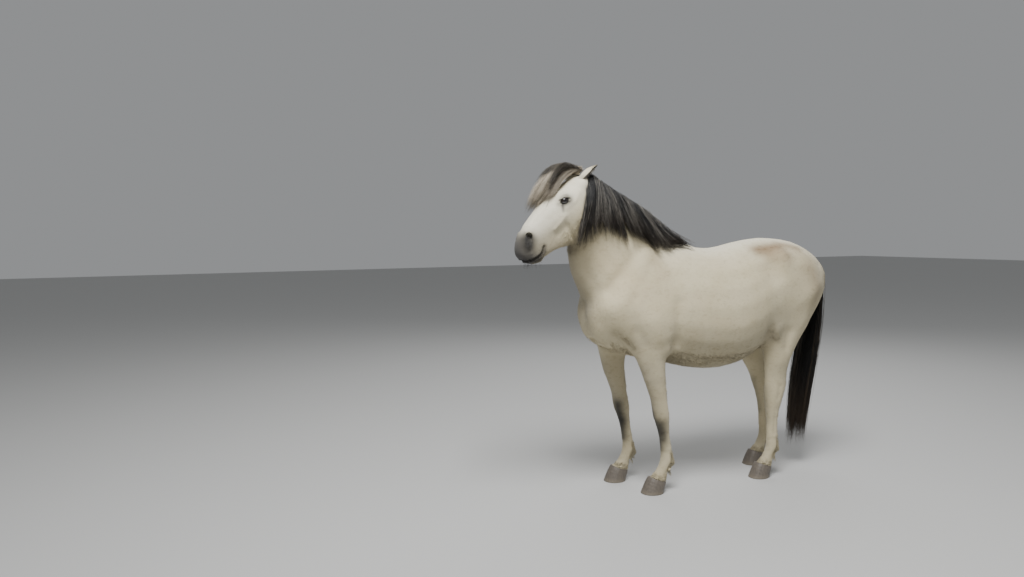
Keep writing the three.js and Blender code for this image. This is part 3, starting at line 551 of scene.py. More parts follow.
# %% Strokes on the trunk and the neck
RELIEF = 1.3
TRUNK_STROKES = [
    (34, 5, (-430, 150, 1330), (-640, 190, 1060)),  # ridge of the shoulder blade
    (30, -8, (-500, 130, 1340), (-690, 150, 1130)),  # groove ahead of the shoulder
    (70, 15, (-440, 205, 960), (-410, 200, 880)),  # triceps
    (30, -13, (-318, 235, 1040), (-322, 225, 800)),  # groove behind the elbow
    (26, -9, (-560, 190, 1080), (-545, 200, 900), (-500, 190, 830)),  # groove ahead of the triceps
    (50, 11, (-690, 150, 1030)),  # point of the shoulder
    (48, 9, (-742, 70, 980), (-705, 80, 870)),  # breast muscles
    (24, -10, (-650, 150, 880), (-560, 150, 800)),  # fold between the breast and the foreleg
    (24, -9, (-775, 0, 1050), (-700, 0, 850)),  # furrow of the breast
    (30, -5, (-850, 70, 1380), (-745, 125, 1120)),  # groove of the throat
    (60, 5, (-760, 75, 1560), (-540, 150, 1240)),  # long muscle of the neck
    (40, 4, (-300, 20, 1400), (-120, 20, 1360)),  # withers
    (70, -6, (-330, 120, 1320)),  # hollow beside the withers
    (36, 12, (-372, 195, 800)),  # elbow
    (24, 12, (330, 225, 835), (285, 240, 930), (235, 255, 1020)),  # fold of the flank
    (34, -12, (262, 225, 850), (215, 235, 930)),  # hollow ahead of it
    (26, -9, (415, 235, 850), (400, 230, 760)),  # groove behind the stifle
    (9, 2.5, (-320, 190, 800), (-100, 215, 745), (120, 210, 730)),  # vein below the ribs
    (52, 10, (350, 250, 1290)),  # point of the hip
    (70, -8, (262, 262, 1190)),  # hollow of the flank
    (18, -7, (480, 0, 1385), (740, 0, 1260)),  # furrow of the croup
    (20, -8, (655, 165, 1220), (615, 200, 860)),  # furrow of the thigh
    (80, 10, (540, 240, 1060), (520, 235, 930)),  # thigh
    (44, 11, (330, 225, 880)),  # stifle
    (28, 8, (768, 26, 1150), (740, 40, 980)),  # buttock beside the tail
]
TRUNK_STROKES += [
    (13, 1.3, (x, 250, 1190), (x + 26, 290, 1040), (x + 52, 270, 880)) for x in range(-250, 190, 52)
]  # ribs
sculpt(skin, [(reach, RELIEF * lift, *path) for reach, lift, *path in TRUNK_STROKES], spot)


# %% Strokes on the legs
def with_step(step):
    """Places on a leg, where the right one is carried along by its step."""
    stride, hip, knee = step

    def place_of(x, y, z):
        share = float(between(np.array(hip - z), 0, hip - knee))
        return spot(x + (stride * share if y > 0 else 0), y, z)

    return place_of


FORE_STROKES = [
    (30, 6, (-492, 160, 740), (-462, 158, 640)),  # muscle at the front of the forearm
    (40, 6, (-430, 205, 760), (-415, 190, 660)),  # and on its outer side
    (16, -4, (-455, 190, 700), (-425, 176, 560)),  # groove between them
    (14, 5, (-330, 146, 478)),  # bone behind the knee
    (17, 3, (-424, 158, 462), (-420, 158, 420)),  # bones of the knee
    (9, -3, (-400, 182, 400), (-390, 184, 480)),
    (8, -4, (-352, 170, 372), (-338, 162, 250)),  # groove ahead of the tendons, outside
    (8, -4, (-352, 118, 372), (-338, 122, 250)),  # and inside
    (14, 4, (-300, 150, 184), (-300, 128, 184)),  # back of the fetlock
    (12, 3, (-372, 140, 178)),
    (10, -3, (-330, 166, 140), (-350, 160, 110)),  # hollow of the pastern
    (8, 3, (-428, 138, 84), (-385, 178, 76)),  # coronet
]
HIND_STROKES = [
    (44, 7, (350, 205, 760), (372, 190, 680)),  # muscle of the gaskin
    (15, -8, (432, 158, 660), (420, 158, 590)),  # hollow ahead of the hock's tendon
    (15, -6, (432, 128, 660), (420, 122, 590)),
    (10, 4, (470, 148, 690), (462, 136, 570)),  # the tendon
    (15, 7, (462, 134, 548)),  # point of the hock
    (18, 3, (318, 138, 520), (326, 134, 470)),  # front of the hock
    (14, -4, (392, 184, 530), (385, 180, 470)),
    (8, -4, (378, 158, 420), (376, 150, 250)),  # groove ahead of the tendons
    (8, -4, (378, 104, 420), (376, 108, 250)),
    (14, 4, (418, 132, 184), (418, 112, 184)),  # back of the fetlock
    (10, -3, (375, 148, 138), (352, 144, 108)),  # hollow of the pastern
    (8, 3, (282, 122, 86), (330, 162, 78)),  # coronet
]
sculpt(skin, FORE_STROKES, with_step(FORE_STEP))
sculpt(skin, HIND_STROKES, with_step(HIND_STEP))

# %% [markdown]
# The head is lean, so its bones show: the ridge of the cheekbone, the round plate of the jaw with its
# muscle, the hollow above the eye, and the soft folds of the lips and nostrils.

# %% Strokes on the head
HEAD_STROKES = [
    (12, 7, (187, 79, 38), (207, 79, 53), (231, 76, 50), (251, 72, 34)),  # brow
    (17, -7, (160, 62, 58)),  # hollow above the eye
    (11, 6, (268, 82, -36), (305, 72, -46), (352, 58, -52)),  # ridge of the cheekbone
    (17, -4, (285, 66, -6), (350, 48, 2)),  # groove above it
    (19, -5, (295, 70, -85), (352, 56, -85)),  # groove below it
    (12, 2.5, (262, 46, 70), (440, 30, 58)),  # edge of the nose
    (13, -2, (280, 0, 80), (430, 0, 66)),
    (13, 4, (240, 88, -14), (180, 96, -20), (125, 86, -8)),  # cheek arch behind the eye
    (26, -4, (118, 66, 42)),  # temple
    (30, 15, (66, 66, 6), (38, 66, 12)),  # root of the ear
    (55, 4, (190, 84, -100)),  # cheek
    (14, 4, (95, 68, -125), (128, 68, -179), (185, 60, -210), (240, 56, -204), (280, 56, -178)),
    (12, -6, (288, 70, -66), (296, 66, -128), (292, 54, -190)),  # front edge of the cheek
    (22, -13, (230, 0, -222), (420, 0, -152)),  # between the jaws
    (10, 3, (305, 34, -208), (430, 32, -150)),  # edge of the jaw
    (4.5, 2.2, (282, 64, -160), (272, 78, -62), (262, 78, -16)),  # veins
    (4, 1.3, (330, 62, -60), (372, 52, -52), (430, 46, -34)),
    (4, 1.2, (345, 58, -64), (385, 50, -82), (420, 50, -96)),
    (8, -2.5, (253, 78, -6), (284, 72, -26)),  # below the corner of the eye
    (10, 8, (468, 52, 30), (490, 64, 24), (514, 64, 0), (530, 50, -20)),  # wing of the nostril
    (10, 7, (480, 34, 42), (508, 30, 30), (534, 20, 6)),  # inner edge of the nostril
    (16, 4, (566, 14, -26), (540, 46, -50)),  # upper lip
    (15, 4, (520, 24, -118), (548, 10, -114)),  # lower lip
    (19, 6, (505, 12, -124)),  # chin
    (9, -4, (470, 34, -118), (480, 0, -126)),  # fold behind the chin
]
sculpt(skin, HEAD_STROKES, on_head)

# %% [markdown]
# The mouth is a narrow groove, and each nostril a deep comma. They are pressed in after the soft
# forms round them, along narrow strokes.

# %% Mouth and nostrils
MOUTH = [
    (458, 46, -80),
    (476, 44, -91),
    (493, 42, -96),
    (515, 41, -94),
    (538, 38, -87),
    (560, 32, -74),
    (578, 18, -61),
    (588, 0, -54),
]
MOUTH_STROKES = [
    (6, -10, *MOUTH),  # the slit
    (9, 4, *[(along - 2, right + 3, up + 11) for along, right, up in MOUTH[:-1]]),  # upper lip
    (9, 3, *[(along - 4, right - 3, up - 11) for along, right, up in MOUTH[:-1]]),  # lower lip
    (8, -4, (454, 48, -77)),  # corner
    (4, -2, (446, 50, -68), (458, 50, -62)),  # wrinkles beside it
    (4, -2, (444, 46, -90), (456, 46, -97)),
]
sculpt(skin, MOUTH_STROKES, on_head)
NOSTRIL = [(531, 42, -14), (518, 50, -2), (503, 54, 10), (486, 50, 23)]
NOSTRIL_REACH = 17
NOSTRIL_DEPTH = 0.03
points = places(skin)
for side in (LEFT, RIGHT):
    line = np.array([on_head(along, side * right, up) for along, right, up in NOSTRIL])
    picked, share = close_to(points, line, NOSTRIL_REACH)
    inward = np.array(FACE_ALONG * -0.66 - FACE_RIGHT * side * 0.7 + FACE_UP * -0.1)
    points[picked] += inward * (between(share, 0.34, 0.84) * NOSTRIL_DEPTH)[:, None]
set_places(skin, points)
print("nostrils pressed in by", NOSTRIL_DEPTH, "m")

# %% [markdown]
# Lids are skin that slides over the eyeball. As pieces of their own they would show a seam, so the
# skin itself makes them: round each eye it is drawn onto a shell just outside the eyeball. Inside
# the almond between the lids it is drawn back behind the eyeball, so that the eye shows.

# %% Lids
LID_THICKNESS = 3.2
LID_REACH = 40
BEHIND_EYE = 5
SLIT_LONG, SLIT_UPPER, SLIT_LOWER = 20.5, 13.0, 10.0


def eye_axes(side):
    """The middle of an eye, the way it looks, and the long and the short axis of its slit."""
    middle = on_head(EYE_PLACE[0], side * EYE_PLACE[1], EYE_PLACE[2])
    ahead = (FACE_ALONG * 0.24 + FACE_RIGHT * side * 0.95 + FACE_UP * 0.18).normalized()
    long = FACE_ALONG * 0.9 + FACE_UP * 0.42
    long = (long - ahead * long.dot(ahead)).normalized()
    high = ahead.cross(long) * -side
    return middle, ahead, long, high if high.dot(FACE_UP) > 0 else -high


def slit_edge(turn):
    """The edge of the slit at a turn round it: along its long axis, and up."""
    height = SLIT_UPPER if math.sin(turn) > 0 else SLIT_LOWER
    return SLIT_LONG * math.cos(turn), height * math.sin(turn) * (1 - 0.25 * math.cos(turn) ** 2)


points = places(skin)
for side in (LEFT, RIGHT):
    middle, ahead, long, high = (np.array(v) for v in eye_axes(side))
    away = (points - middle) * 1000
    far = np.linalg.norm(away, axis=1)
    near_eye = (far < LID_REACH) & (away @ ahead > -6)
    local, reach = away[near_eye], far[near_eye]
    way = local / reach[:, None]
    a, b = way @ long * EYE_RADIUS, way @ high * EYE_RADIUS
    height = np.where(b > 0, SLIT_UPPER, SLIT_LOWER)
    inside = np.sqrt((a / SLIT_LONG) ** 2 + (b / height) ** 2)
    inside = np.where(way @ ahead > 0, inside, 9)
    lifted = np.maximum(reach, EYE_RADIUS + LID_THICKNESS)
    lifted = np.where(inside < 1.0, EYE_RADIUS - BEHIND_EYE, lifted)
    points[near_eye] = middle + way * lifted[:, None] / 1000
set_places(skin, points)
edges = edges_of(skin)
measure = head_measure(places(skin))
lid_ring = np.hypot(measure[:, 0] - EYE_PLACE[0], measure[:, 2] - EYE_PLACE[2])
weights = np.clip(1 - np.abs(lid_ring - 33) / 14, 0, 1) * (np.abs(measure[:, 1]) > 40)
set_places(skin, eased(places(skin), edges, weights, 6))
print("slit of the eye is", 2 * SLIT_LONG, "mm long")

# %% [markdown]
# The solids end where the coat ends. Fur stands on the skin, so the skin is moved in by the depth of
# the coat and by what it was swelled. The horse keeps its size once the fur is on.

# %% Setting the skin below the coat
COAT_DEPTH = 0.003
points = places(skin)
set_places(skin, points - read(skin.data.vertices, "normal") * (SWELL + COAT_DEPTH))
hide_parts(*FLESH)
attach(skin, "root")
skin_tree = BVHTree.FromObject(skin, bpy.context.evaluated_depsgraph_get())
print("skin has", sum(len(face.vertices) - 2 for face in skin.data.polygons), "triangles")

# %% [markdown]
# The coat is a dirty cream. It is whiter on the face, grey on the muzzle, dark round the eyes and on
# the fronts of the forelegs, brown with dried mud on the croup, and faintly dappled low on the barrel.
# Painted light goes in with the markings: the back is painted whiter where the light from above falls
# on it, and painted shade darkens the belly, the throat, the fold before each foreleg, the fold of the
# flank, the groove under the tail, the underside of the jaw, the mouth and the nostrils. A painted
# picture would need an image file, so the markings are strokes like those of the shapes: how wide each
# reaches, how strong it is, its colour, its mottle and its places. The mottle says how strongly the
# fine speckle shows there. Skin and fur share one list.

# %% Markings, painted light and painted shade
CREAM = np.array([0.60, 0.53, 0.36])
WHITE = (0.78, 0.74, 0.61)
GREY = (0.075, 0.07, 0.067)
DARK = (0.012, 0.011, 0.010)
MUD = (0.22, 0.14, 0.07)
SMOKE = (0.19, 0.165, 0.125)
STRAW = (0.66, 0.54, 0.35)
PLAIN_MOTTLE = 0.35
BODY_PAINT = [
    # Painted highlight: the back is painted whiter where the light from above falls on it.
    (150, 0.5, WHITE, 0.2, (-260, 60, 1400), (300, 60, 1400), (640, 60, 1340)),  # back
    (130, 0.34, SMOKE, 0.8, (-300, 250, 800), (60, 280, 760), (260, 250, 800)),  # barrel
    # Painted shade: the underside of the belly is painted darker where shade falls under it.
    (110, 0.35, SMOKE, 0.6, (-350, 60, 700), (-40, 60, 645), (240, 60, 710)),  # belly
    (52, 0.85, MUD, 1.0, (240, 160, 1318), (350, 170, 1325)),  # croup
    (40, 0.6, MUD, 1.0, (400, 150, 1345), (500, 170, 1325)),
    (60, 0.5, MUD, 0.9, (300, 210, 1290), (380, 230, 1290)),
    (80, 0.4, MUD, 0.9, (560, 250, 1200), (620, 230, 1050)),  # thigh
    (60, 0.2, MUD, 0.8, (-420, 150, 1330), (-380, 200, 1200)),  # shoulder
    # Painted shade: the throat, on the underside of the neck, is painted darker.
    (80, 0.5, SMOKE, 0.15, (-880, 30, 1440), (-820, 50, 1200), (-770, 40, 1020)),  # throat
    (120, 0.3, STRAW, 0.1, (-700, 140, 1300), (-560, 200, 1150)),  # side of the neck
    # Painted shade in the fold before the foreleg.
    (70, 0.25, SMOKE, 0.7, (-520, 190, 820), (-640, 150, 880)),  # fold before the foreleg
    # Painted shade in the fold of the flank.
    (60, 0.35, SMOKE, 0.6, (300, 200, 830), (260, 230, 900)),  # fold of the flank
    # Painted shade in the groove under the tail, between the buttocks.
    (60, 0.3, SMOKE, 0.5, (760, 0, 1160), (730, 0, 960)),  # beside the tail
]
FORE_PAINT = [
    (52, 0.95, DARK, 0.8, (-412, 122, 445), (-400, 126, 350)),  # front of the knee
    (40, 0.9, DARK, 0.8, (-394, 128, 340), (-378, 132, 250)),  # and below it
    (36, 0.75, DARK, 0.9, (-392, 172, 380), (-372, 168, 300)),
    (70, 0.5, SMOKE, 0.7, (-480, 160, 680), (-440, 156, 520)),  # forearm
    (46, 0.3, SMOKE, 0.6, (-370, 140, 180), (-380, 138, 100)),  # pastern
]
HIND_PAINT = [
    (30, 0.4, GREY, 0.6, (322, 134, 520), (336, 126, 330)),  # front of the hock
    (44, 0.3, SMOKE, 0.6, (340, 124, 180), (322, 122, 100)),  # pastern
]
HEAD_PAINT = [
    (80, 0.8, WHITE, 0.1, (60, 60, 20), (260, 60, 20), (430, 30, 40)),  # face
    (60, 0.5, WHITE, 0.1, (300, 40, 70), (430, 30, 60)),
    (52, 0.75, GREY, 0.2, (506, 58, 0), (545, 50, -30), (584, 10, -40)),  # muzzle
    (46, 0.7, GREY, 0.2, (545, 10, 20), (572, 10, -6), (588, 0, -30)),
    (40, 0.5, GREY, 0.2, (520, 34, 26), (548, 34, 8)),
    (44, 0.85, GREY, 0.2, (588, 0, -60), (548, 46, -74), (492, 60, -100)),
    (30, 0.85, DARK, 0.1, (590, 0, -84), (560, 30, -98), (516, 38, -114)),  # lower lip
    # Painted shade: the hollow of each nostril is painted dark, down to the skin pressed in deepest.
    (26, 1.0, DARK, 0.1, (526, 48, -8), (516, 54, 0), (502, 56, 12), (492, 54, 18)),  # nostril
    (32, 1.0, DARK, 0.1, (516, 28, -8), (502, 30, 8), (486, 24, 0)),  # and inside it
    # Painted shade in the slit of the mouth and in its corner.
    (12, 1.0, DARK, 0.0, *MOUTH),
    (18, 0.9, DARK, 0.1, (457, 48, -80), (470, 46, -90)),  # corner of the mouth
    (60, 0.35, SMOKE, 0.3, (440, 56, -70), (400, 54, -100)),
    (38, 0.45, GREY, 0.2, (EYE_PLACE[0], 88, EYE_PLACE[2])),  # round the eye
    (22, 1.0, DARK, 0.0, (203, 94, 12), (230, 92, 21)),
    (8, 0.8, GREY, 0.2, (243, 84, 14), (262, 80, -12)),  # trace of a tear
    # Painted shade under the jaw.
    (46, 0.4, SMOKE, 0.5, (180, 60, -215), (320, 50, -205), (440, 44, -150)),  # under the jaw
]


def markings_and_painted_light(points):
    """The colour of the coat at each point, with its painted light and shade, and how strongly it is
    mottled there.
    """
    colour = np.tile(CREAM, (len(points), 1))
    mottle = np.full(len(points), PLAIN_MOTTLE)
    for strokes, place_of in (
        (BODY_PAINT, spot),
        (FORE_PAINT, with_step(FORE_STEP)),
        (HIND_PAINT, with_step(HIND_STEP)),
        (HEAD_PAINT, on_head),
    ):
        for reach, strength, tint, speckle, *path in strokes:
            for line in both_sides(path, place_of):
                picked, share = close_to(points, line, reach)
                share = share * strength
                colour[picked] += (np.array(tint) - colour[picked]) * share[:, None]
                mottle[picked] += (speckle - mottle[picked]) * share
    return colour, mottle


def paint(piece, colour, mottle=None):
    """Stores a colour, and a mottle if given, at each point of a piece."""
    layer = piece.data.color_attributes.new(name="colour", type="FLOAT_COLOR", domain="POINT")
    with_alpha = np.column_stack([colour, np.ones(len(colour))]).astype(np.float32)
    layer.data.foreach_set("color", with_alpha.ravel())
    if mottle is not None:
        speckle = piece.data.attributes.new(name="mottle", type="FLOAT", domain="POINT")
        speckle.data.foreach_set("value", np.asarray(mottle, np.float32))


paint(skin, *markings_and_painted_light(places(skin)))
print("skin painted in", len(BODY_PAINT + FORE_PAINT + HIND_PAINT + HEAD_PAINT), "strokes")

# %% [markdown]
# Seen from some way off, short fur is a soft surface with a grain. Modelled hair for hair it would be
# far too heavy, so the material draws most of it: wide pale patches, the speckle where the mottle
# allows it, and a fine grain that runs with the hair and also raises the surface a little.

# %% The coat's material
coat = Stuff("coat", (0.56, 0.52, 0.43), 0.78)
base = coat.painted("colour")
mottle = coat.painted("mottle", "Fac")
patches = coat.steps(coat.noise(7, 4), 0.35, 0.75)
shade = coat.mix(coat.sum("MULTIPLY", patches, 0.3), base, (0.74, 0.69, 0.58), "MULTIPLY")
speckle = coat.sum("MULTIPLY", coat.steps(coat.noise(40, 4, (1, 1, 1.6)), 0.5, 0.75), mottle)
shade = coat.mix(coat.sum("MULTIPLY", speckle, 0.55), shade, (0.46, 0.41, 0.32), "MULTIPLY")
streak = coat.noise(260, 2, (0.35, 1, 0.7))
grain = coat.sum("MULTIPLY", coat.steps(streak, 0.3, 0.8), 0.22)
shade = coat.mix(grain, shade, (0.8, 0.78, 0.7), "MULTIPLY")
coat.plug(shade, coat.shader.inputs["Base Color"])
fine = coat.bump(streak, 0.0016, 0.5)
coat.plug(coat.bump(coat.noise(28, 3), 0.003, 0.35, fine), coat.shader.inputs["Normal"])
coat.set("Sheen Weight", 0.1)
coat.set("Sheen Roughness", 0.6)
coat.set("Specular IOR Level", 0.25)
skin.data.materials.append(coat.material)
print("coat has", len(coat.nodes), "nodes")

# %% [markdown]
# A horse's eye is large and looks almost black. The iris is dark brown, the pupil is a wide flat oval
# and the wet surface mirrors the sky. Rings of faces for iris and pupil would show their corners, so
# the eyeball is a plain sphere whose pole looks outwards. Each point carries its place in the eye,
# along the slit, up, and out from the middle, from which the material draws iris and pupil.

# %% The eyeballs
IRIS_RADIUS = 15.0
PUPIL_HALF_WIDTH, PUPIL_HALF_HEIGHT = 9.5, 5.0
BACK_OF_EYE = 40
eye_stuff = Stuff("eye", (0.03, 0.02, 0.015), 0.06)
seen = eye_stuff.add("ShaderNodeSeparateXYZ")
eye_stuff.plug(eye_stuff.painted("gaze", "Vector"), seen.inputs[0])
wide = eye_stuff.sum("MULTIPLY", seen.outputs["X"], 1 / PUPIL_HALF_WIDTH)
tall = eye_stuff.sum("MULTIPLY", seen.outputs["Y"], 1 / PUPIL_HALF_HEIGHT)
squares = [eye_stuff.sum("POWER", half, 2.0) for half in (wide, tall)]
pupil = eye_stuff.sum("SQRT", eye_stuff.sum("ADD", *squares), 0.0)
iris = eye_stuff.sum("MULTIPLY", seen.outputs["Z"], 1 / IRIS_RADIUS)
streaks = eye_stuff.mix(eye_stuff.noise(420, 2), (0.012, 0.006, 0.004), (0.034, 0.017, 0.010))
dark_rim = eye_stuff.mix(eye_stuff.steps(iris, 0.8, 1.0), streaks, (0.012, 0.009, 0.008))
with_white = eye_stuff.mix(eye_stuff.steps(iris, 1.02, 1.25), dark_rim, (0.022, 0.016, 0.014))
in_pupil = eye_stuff.steps(pupil, 1.05, 0.9)
whole_eye = eye_stuff.mix(in_pupil, with_white, (0.003, 0.004, 0.006))
eye_stuff.plug(whole_eye, eye_stuff.shader.inputs["Base Color"])
eye_stuff.set("Coat Weight", 1.0)
eye_stuff.set("Coat Roughness", 0.02)

for side, name in ((LEFT, "eye_left"), (RIGHT, "eye_right")):
    middle, ahead, long, high = eye_axes(side)
    bpy.ops.object.select_all(action="DESELECT")
    bpy.ops.mesh.primitive_uv_sphere_add(
        segments=56,
        ring_count=36,
        radius=EYE_RADIUS / 1000,
        location=middle,
        rotation=ahead.to_track_quat("Z", "Y").to_euler(),
    )
    eye = bpy.context.object
    eye.name = name.replace("eye", "eyeball")
    bpy.ops.object.transform_apply(location=True, rotation=True, scale=True)
    bpy.ops.object.shade_smooth()
    way = (places(eye) - np.array(middle)) * 1000
    gaze = np.column_stack([way @ np.array(long), way @ np.array(high), np.zeros(len(way))])
    from_middle = np.hypot(gaze[:, 0], gaze[:, 1])
    gaze[:, 2] = np.where(way @ np.array(ahead) > 0, from_middle, BACK_OF_EYE)
    layer = eye.data.attributes.new(name="gaze", type="FLOAT_VECTOR", domain="POINT")
    layer.data.foreach_set("vector", gaze.astype(np.float32).ravel())
    eye.data.materials.append(eye_stuff.material)
    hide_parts(name)
    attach(eye, "root")
print("eyes at", [round(v, 3) for v in eye_axes(LEFT)[0]])

# %% [markdown]
# The rims of the lids are bare, wet black skin. Each is a torus laid round the slit, on the eyeball's
# own curve, which closes the edge between skin and eyeball with a soft round line.

# %% The rims of the lids
lid_stuff = Stuff("lid_rim", (0.014, 0.012, 0.012), 0.35)
RIM = 1.9
RIM_LIFT = 1.2
rims = []
for side in (LEFT, RIGHT):
    middle, ahead, long, high = (np.array(v) for v in eye_axes(side))
    bpy.ops.object.select_all(action="DESELECT")
    bpy.ops.mesh.primitive_torus_add(
        major_segments=64,
        minor_segments=10,
        major_radius=1.0,
        minor_radius=0.25,
        location=(0, 0, 0),
    )
    rim = bpy.context.object
    moved = []
    for x, y, z in places(rim):
        around = math.atan2(y, x)
        inner = math.atan2(z, math.hypot(x, y) - 1)
        a, b = slit_edge(around)
        forth = math.sqrt(EYE_RADIUS**2 - a * a - b * b)
        way = (a * long + b * high + forth * ahead) / EYE_RADIUS
        outward = math.cos(around) * long + math.sin(around) * high
        outward = outward - way * (outward @ way)
        outward = outward / np.linalg.norm(outward)
        tube = RIM * (math.cos(inner) * outward + math.sin(inner) * way)
        moved.append(middle + (way * (EYE_RADIUS + RIM_LIFT) + tube) / 1000)
    set_places(rim, moved)
    bpy.ops.object.shade_smooth()
    rims.append(rim)
only(*rims)
bpy.ops.object.join()
rims = bpy.context.object
rims.name = "lid_rims"
rims.data.materials.append(lid_stuff.material)
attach(rims, "root")
print("rims are", 2 * RIM, "mm thick")

# %% [markdown]
# The ears are cups of skin laid half back. The solids already have that shape, so copies of them are
# remeshed fine and rounded. Their tips are painted dark and their hollows the grey of bare skin, and
# their roots sink a little into the head, where the fur hides the join.

# %% The ears
EAR_ROOT = (58, 54, 16)
EAR_TIPS = {LEFT: (-69, 76, 20), RIGHT: (-69, 75, 22)}
EAR_OPENINGS = {LEFT: (0, 0.5, -0.8), RIGHT: (0, 0.6, -0.6)}
EAR_SWELL = 0.0004
EAR_FACE = 0.0021
EAR_PASSES = 9
BARE_SKIN = (0.06, 0.052, 0.048)


def ear_opening(side):
    """The way an ear's hollow faces."""
    along, right, up = EAR_OPENINGS[side]
    return np.array((FACE_ALONG * along + FACE_RIGHT * side * right + FACE_UP * up).normalized())


for side, name in ((LEFT, "ear_left"), (RIGHT, "ear_right")):
    ear = copy_of([name], name.replace("ear", "ear_skin"), EAR_SWELL)
    modify(ear, "REMESH", mode="VOXEL", voxel_size=EAR_FACE, adaptivity=0)
    points = places(ear)
    set_places(ear, eased(points, edges_of(ear), np.ones(len(points)), EAR_PASSES))
    only(ear)
    bpy.ops.object.shade_smooth()
    tip, root = (np.array(on_head(a, side * r, u)) for a, r, u in (EAR_TIPS[side], EAR_ROOT))
    share = (places(ear) - root) @ (tip - root) / ((tip - root) @ (tip - root))
    sunk = np.array(FACE_RIGHT) * -side * 0.013 + np.array(FACE_UP) * -0.004
    set_places(ear, places(ear) + sunk * between(-share, -0.22, 0.02)[:, None])
    share = between(share, 0.5, 1.0)
    colour, mottle = markings_and_painted_light(places(ear))
    out = read(ear.data.vertices, "normal")
    opening = ear_opening(side)
    inner = between(out @ opening, 0.2, 0.65) * 0.9
    for amount, tint in ((inner, BARE_SKIN), (share * 0.8, DARK)):
        colour += (np.array(tint) - colour) * amount[:, None]
    paint(ear, colour, mottle)
    ear.data.materials.append(coat.material)
    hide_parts(name)
    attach(ear, "root")
    print(ear.name, len(ear.data.vertices), "points")

# %% [markdown]
# Horn grows down from the coronet in rings, and wears into fine upright streaks. Streaks are so fine
# that the material can draw them, but rings catch the light, so they are pressed into the wall of
# the hoof. It is the solid cut finer, with a flat sole as before, and dust on the lower edge.

# %% The hooves
HOOVES = ["hoof_fore_left", "hoof_fore_right", "hoof_hind_left", "hoof_hind_right"]
HOOF_CUTS = 5
horn = Stuff("horn", (0.11, 0.09, 0.075), 0.5)
upright = horn.noise(240, 3, (1, 1, 0.05))
horn_shade = horn.mix(upright, (0.06, 0.052, 0.046), (0.2, 0.17, 0.135))
height = horn.add("ShaderNodeSeparateXYZ")
horn.plug(horn.add("ShaderNodeTexCoord").outputs["Object"], height.inputs[0])
dust = horn.sum("MULTIPLY", horn.steps(height.outputs["Z"], 0.03, 0.0), 0.45)
horn.plug(horn.mix(dust, horn_shade, (0.26, 0.22, 0.16)), horn.shader.inputs["Base Color"])
horn.plug(horn.bump(upright, 0.0006, 0.6), horn.shader.inputs["Normal"])
for name in HOOVES:
    foot = copy_of([name], name.replace("hoof", "horn"))
    bpy.ops.object.mode_set(mode="EDIT")
    bpy.ops.mesh.select_all(action="SELECT")
    bpy.ops.mesh.subdivide(number_cuts=HOOF_CUTS, smoothness=0.0)
    bpy.ops.object.mode_set(mode="OBJECT")
    points, out = places(foot), read(foot.data.vertices, "normal")
    wall = between(points[:, 2], 0.002, 0.008) * between(-out[:, 2], 0.9, 0.5)
    wall = wall * between(out[:, 2], 0.95, 0.6)
    lean = points[:, 2] * 1000 + (points[:, 0] - points[:, 0].mean()) * 1000 * 0.36
    rings = 0.45 * np.sin(lean / 1.5) + 0.5 * np.sin(lean / 3.1 + 1)
    points += out * (wall * rings / 1000)[:, None]
    set_places(foot, points)
    only(foot)
    bpy.ops.object.shade_smooth_by_angle(angle=math.radians(50))
    foot.data.materials.append(horn.material)
    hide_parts(name)
    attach(foot, "root")
    print(foot.name, len(foot.data.vertices), "points")

# %% [markdown]
# Blender's own hair is lost when a model is handed on, so all hair here is solid mesh: every strand
# is a closed tube of three sides that tapers to a point. A strand is a smooth line through a few
# places, first pushed clear of the skin. Strands grow in locks: those of one lock start side by side
# and draw together at the tip.


# %% How hair is made
def smooth_lines(controls, count):
    """Smooth lines through rows of places: strands by places by 3, to strands by count by 3."""
    last = controls.shape[1] - 1
    at = np.linspace(0, last, count)
    i = np.minimum(at.astype(int), last - 1)
    u = (at - i)[None, :, None]
    p0, p1 = controls[:, np.maximum(i - 1, 0)], controls[:, i]
    p2, p3 = controls[:, i + 1], controls[:, np.minimum(i + 2, last)]
    steep = 2 * p0 - 5 * p1 + 4 * p2 - p3
    return 0.5 * (2 * p1 + (p2 - p0) * u + steep * u**2 + (3 * p1 - p0 - 3 * p2 + p3) * u**3)


NEAR_SKIN = 0.06


def clear_of_skin(lines, lifts):
    """The lines with every point at least its own lift above the skin, in metres."""
    lines = lines.copy()
    for line, lift in zip(lines, lifts):
        for k in range(len(line)):
            place, normal, _, _ = skin_tree.find_nearest(Vector(line[k]))
            away = Vector(line[k]) - place
            if away.length < NEAR_SKIN and away.dot(normal) < lift[k]:
                line[k] = place + normal * lift[k]
    return lines


def lifts_for(lines, millimetres):
    """The same lifts for every line, in metres."""
    return 0.001 * np.array(millimetres)[None, :] * np.ones((len(lines), 1))


def relaxed(lines, passes=2):
    """The lines with their kinks drawn out; roots and tips keep their places."""
    lines = lines.copy()
    for _ in range(passes):
        lines[:, 1:-1] = 0.5 * lines[:, 1:-1] + 0.25 * (lines[:, :-2] + lines[:, 2:])
    return lines


def unit(vectors):
    """The vectors at a length of 1."""
    return vectors / np.maximum(np.linalg.norm(vectors, axis=-1, keepdims=True), 1e-9)


LEG_MIDDLES = [(-380, -138), (-468, 138), (380, -124), (516, 124)]


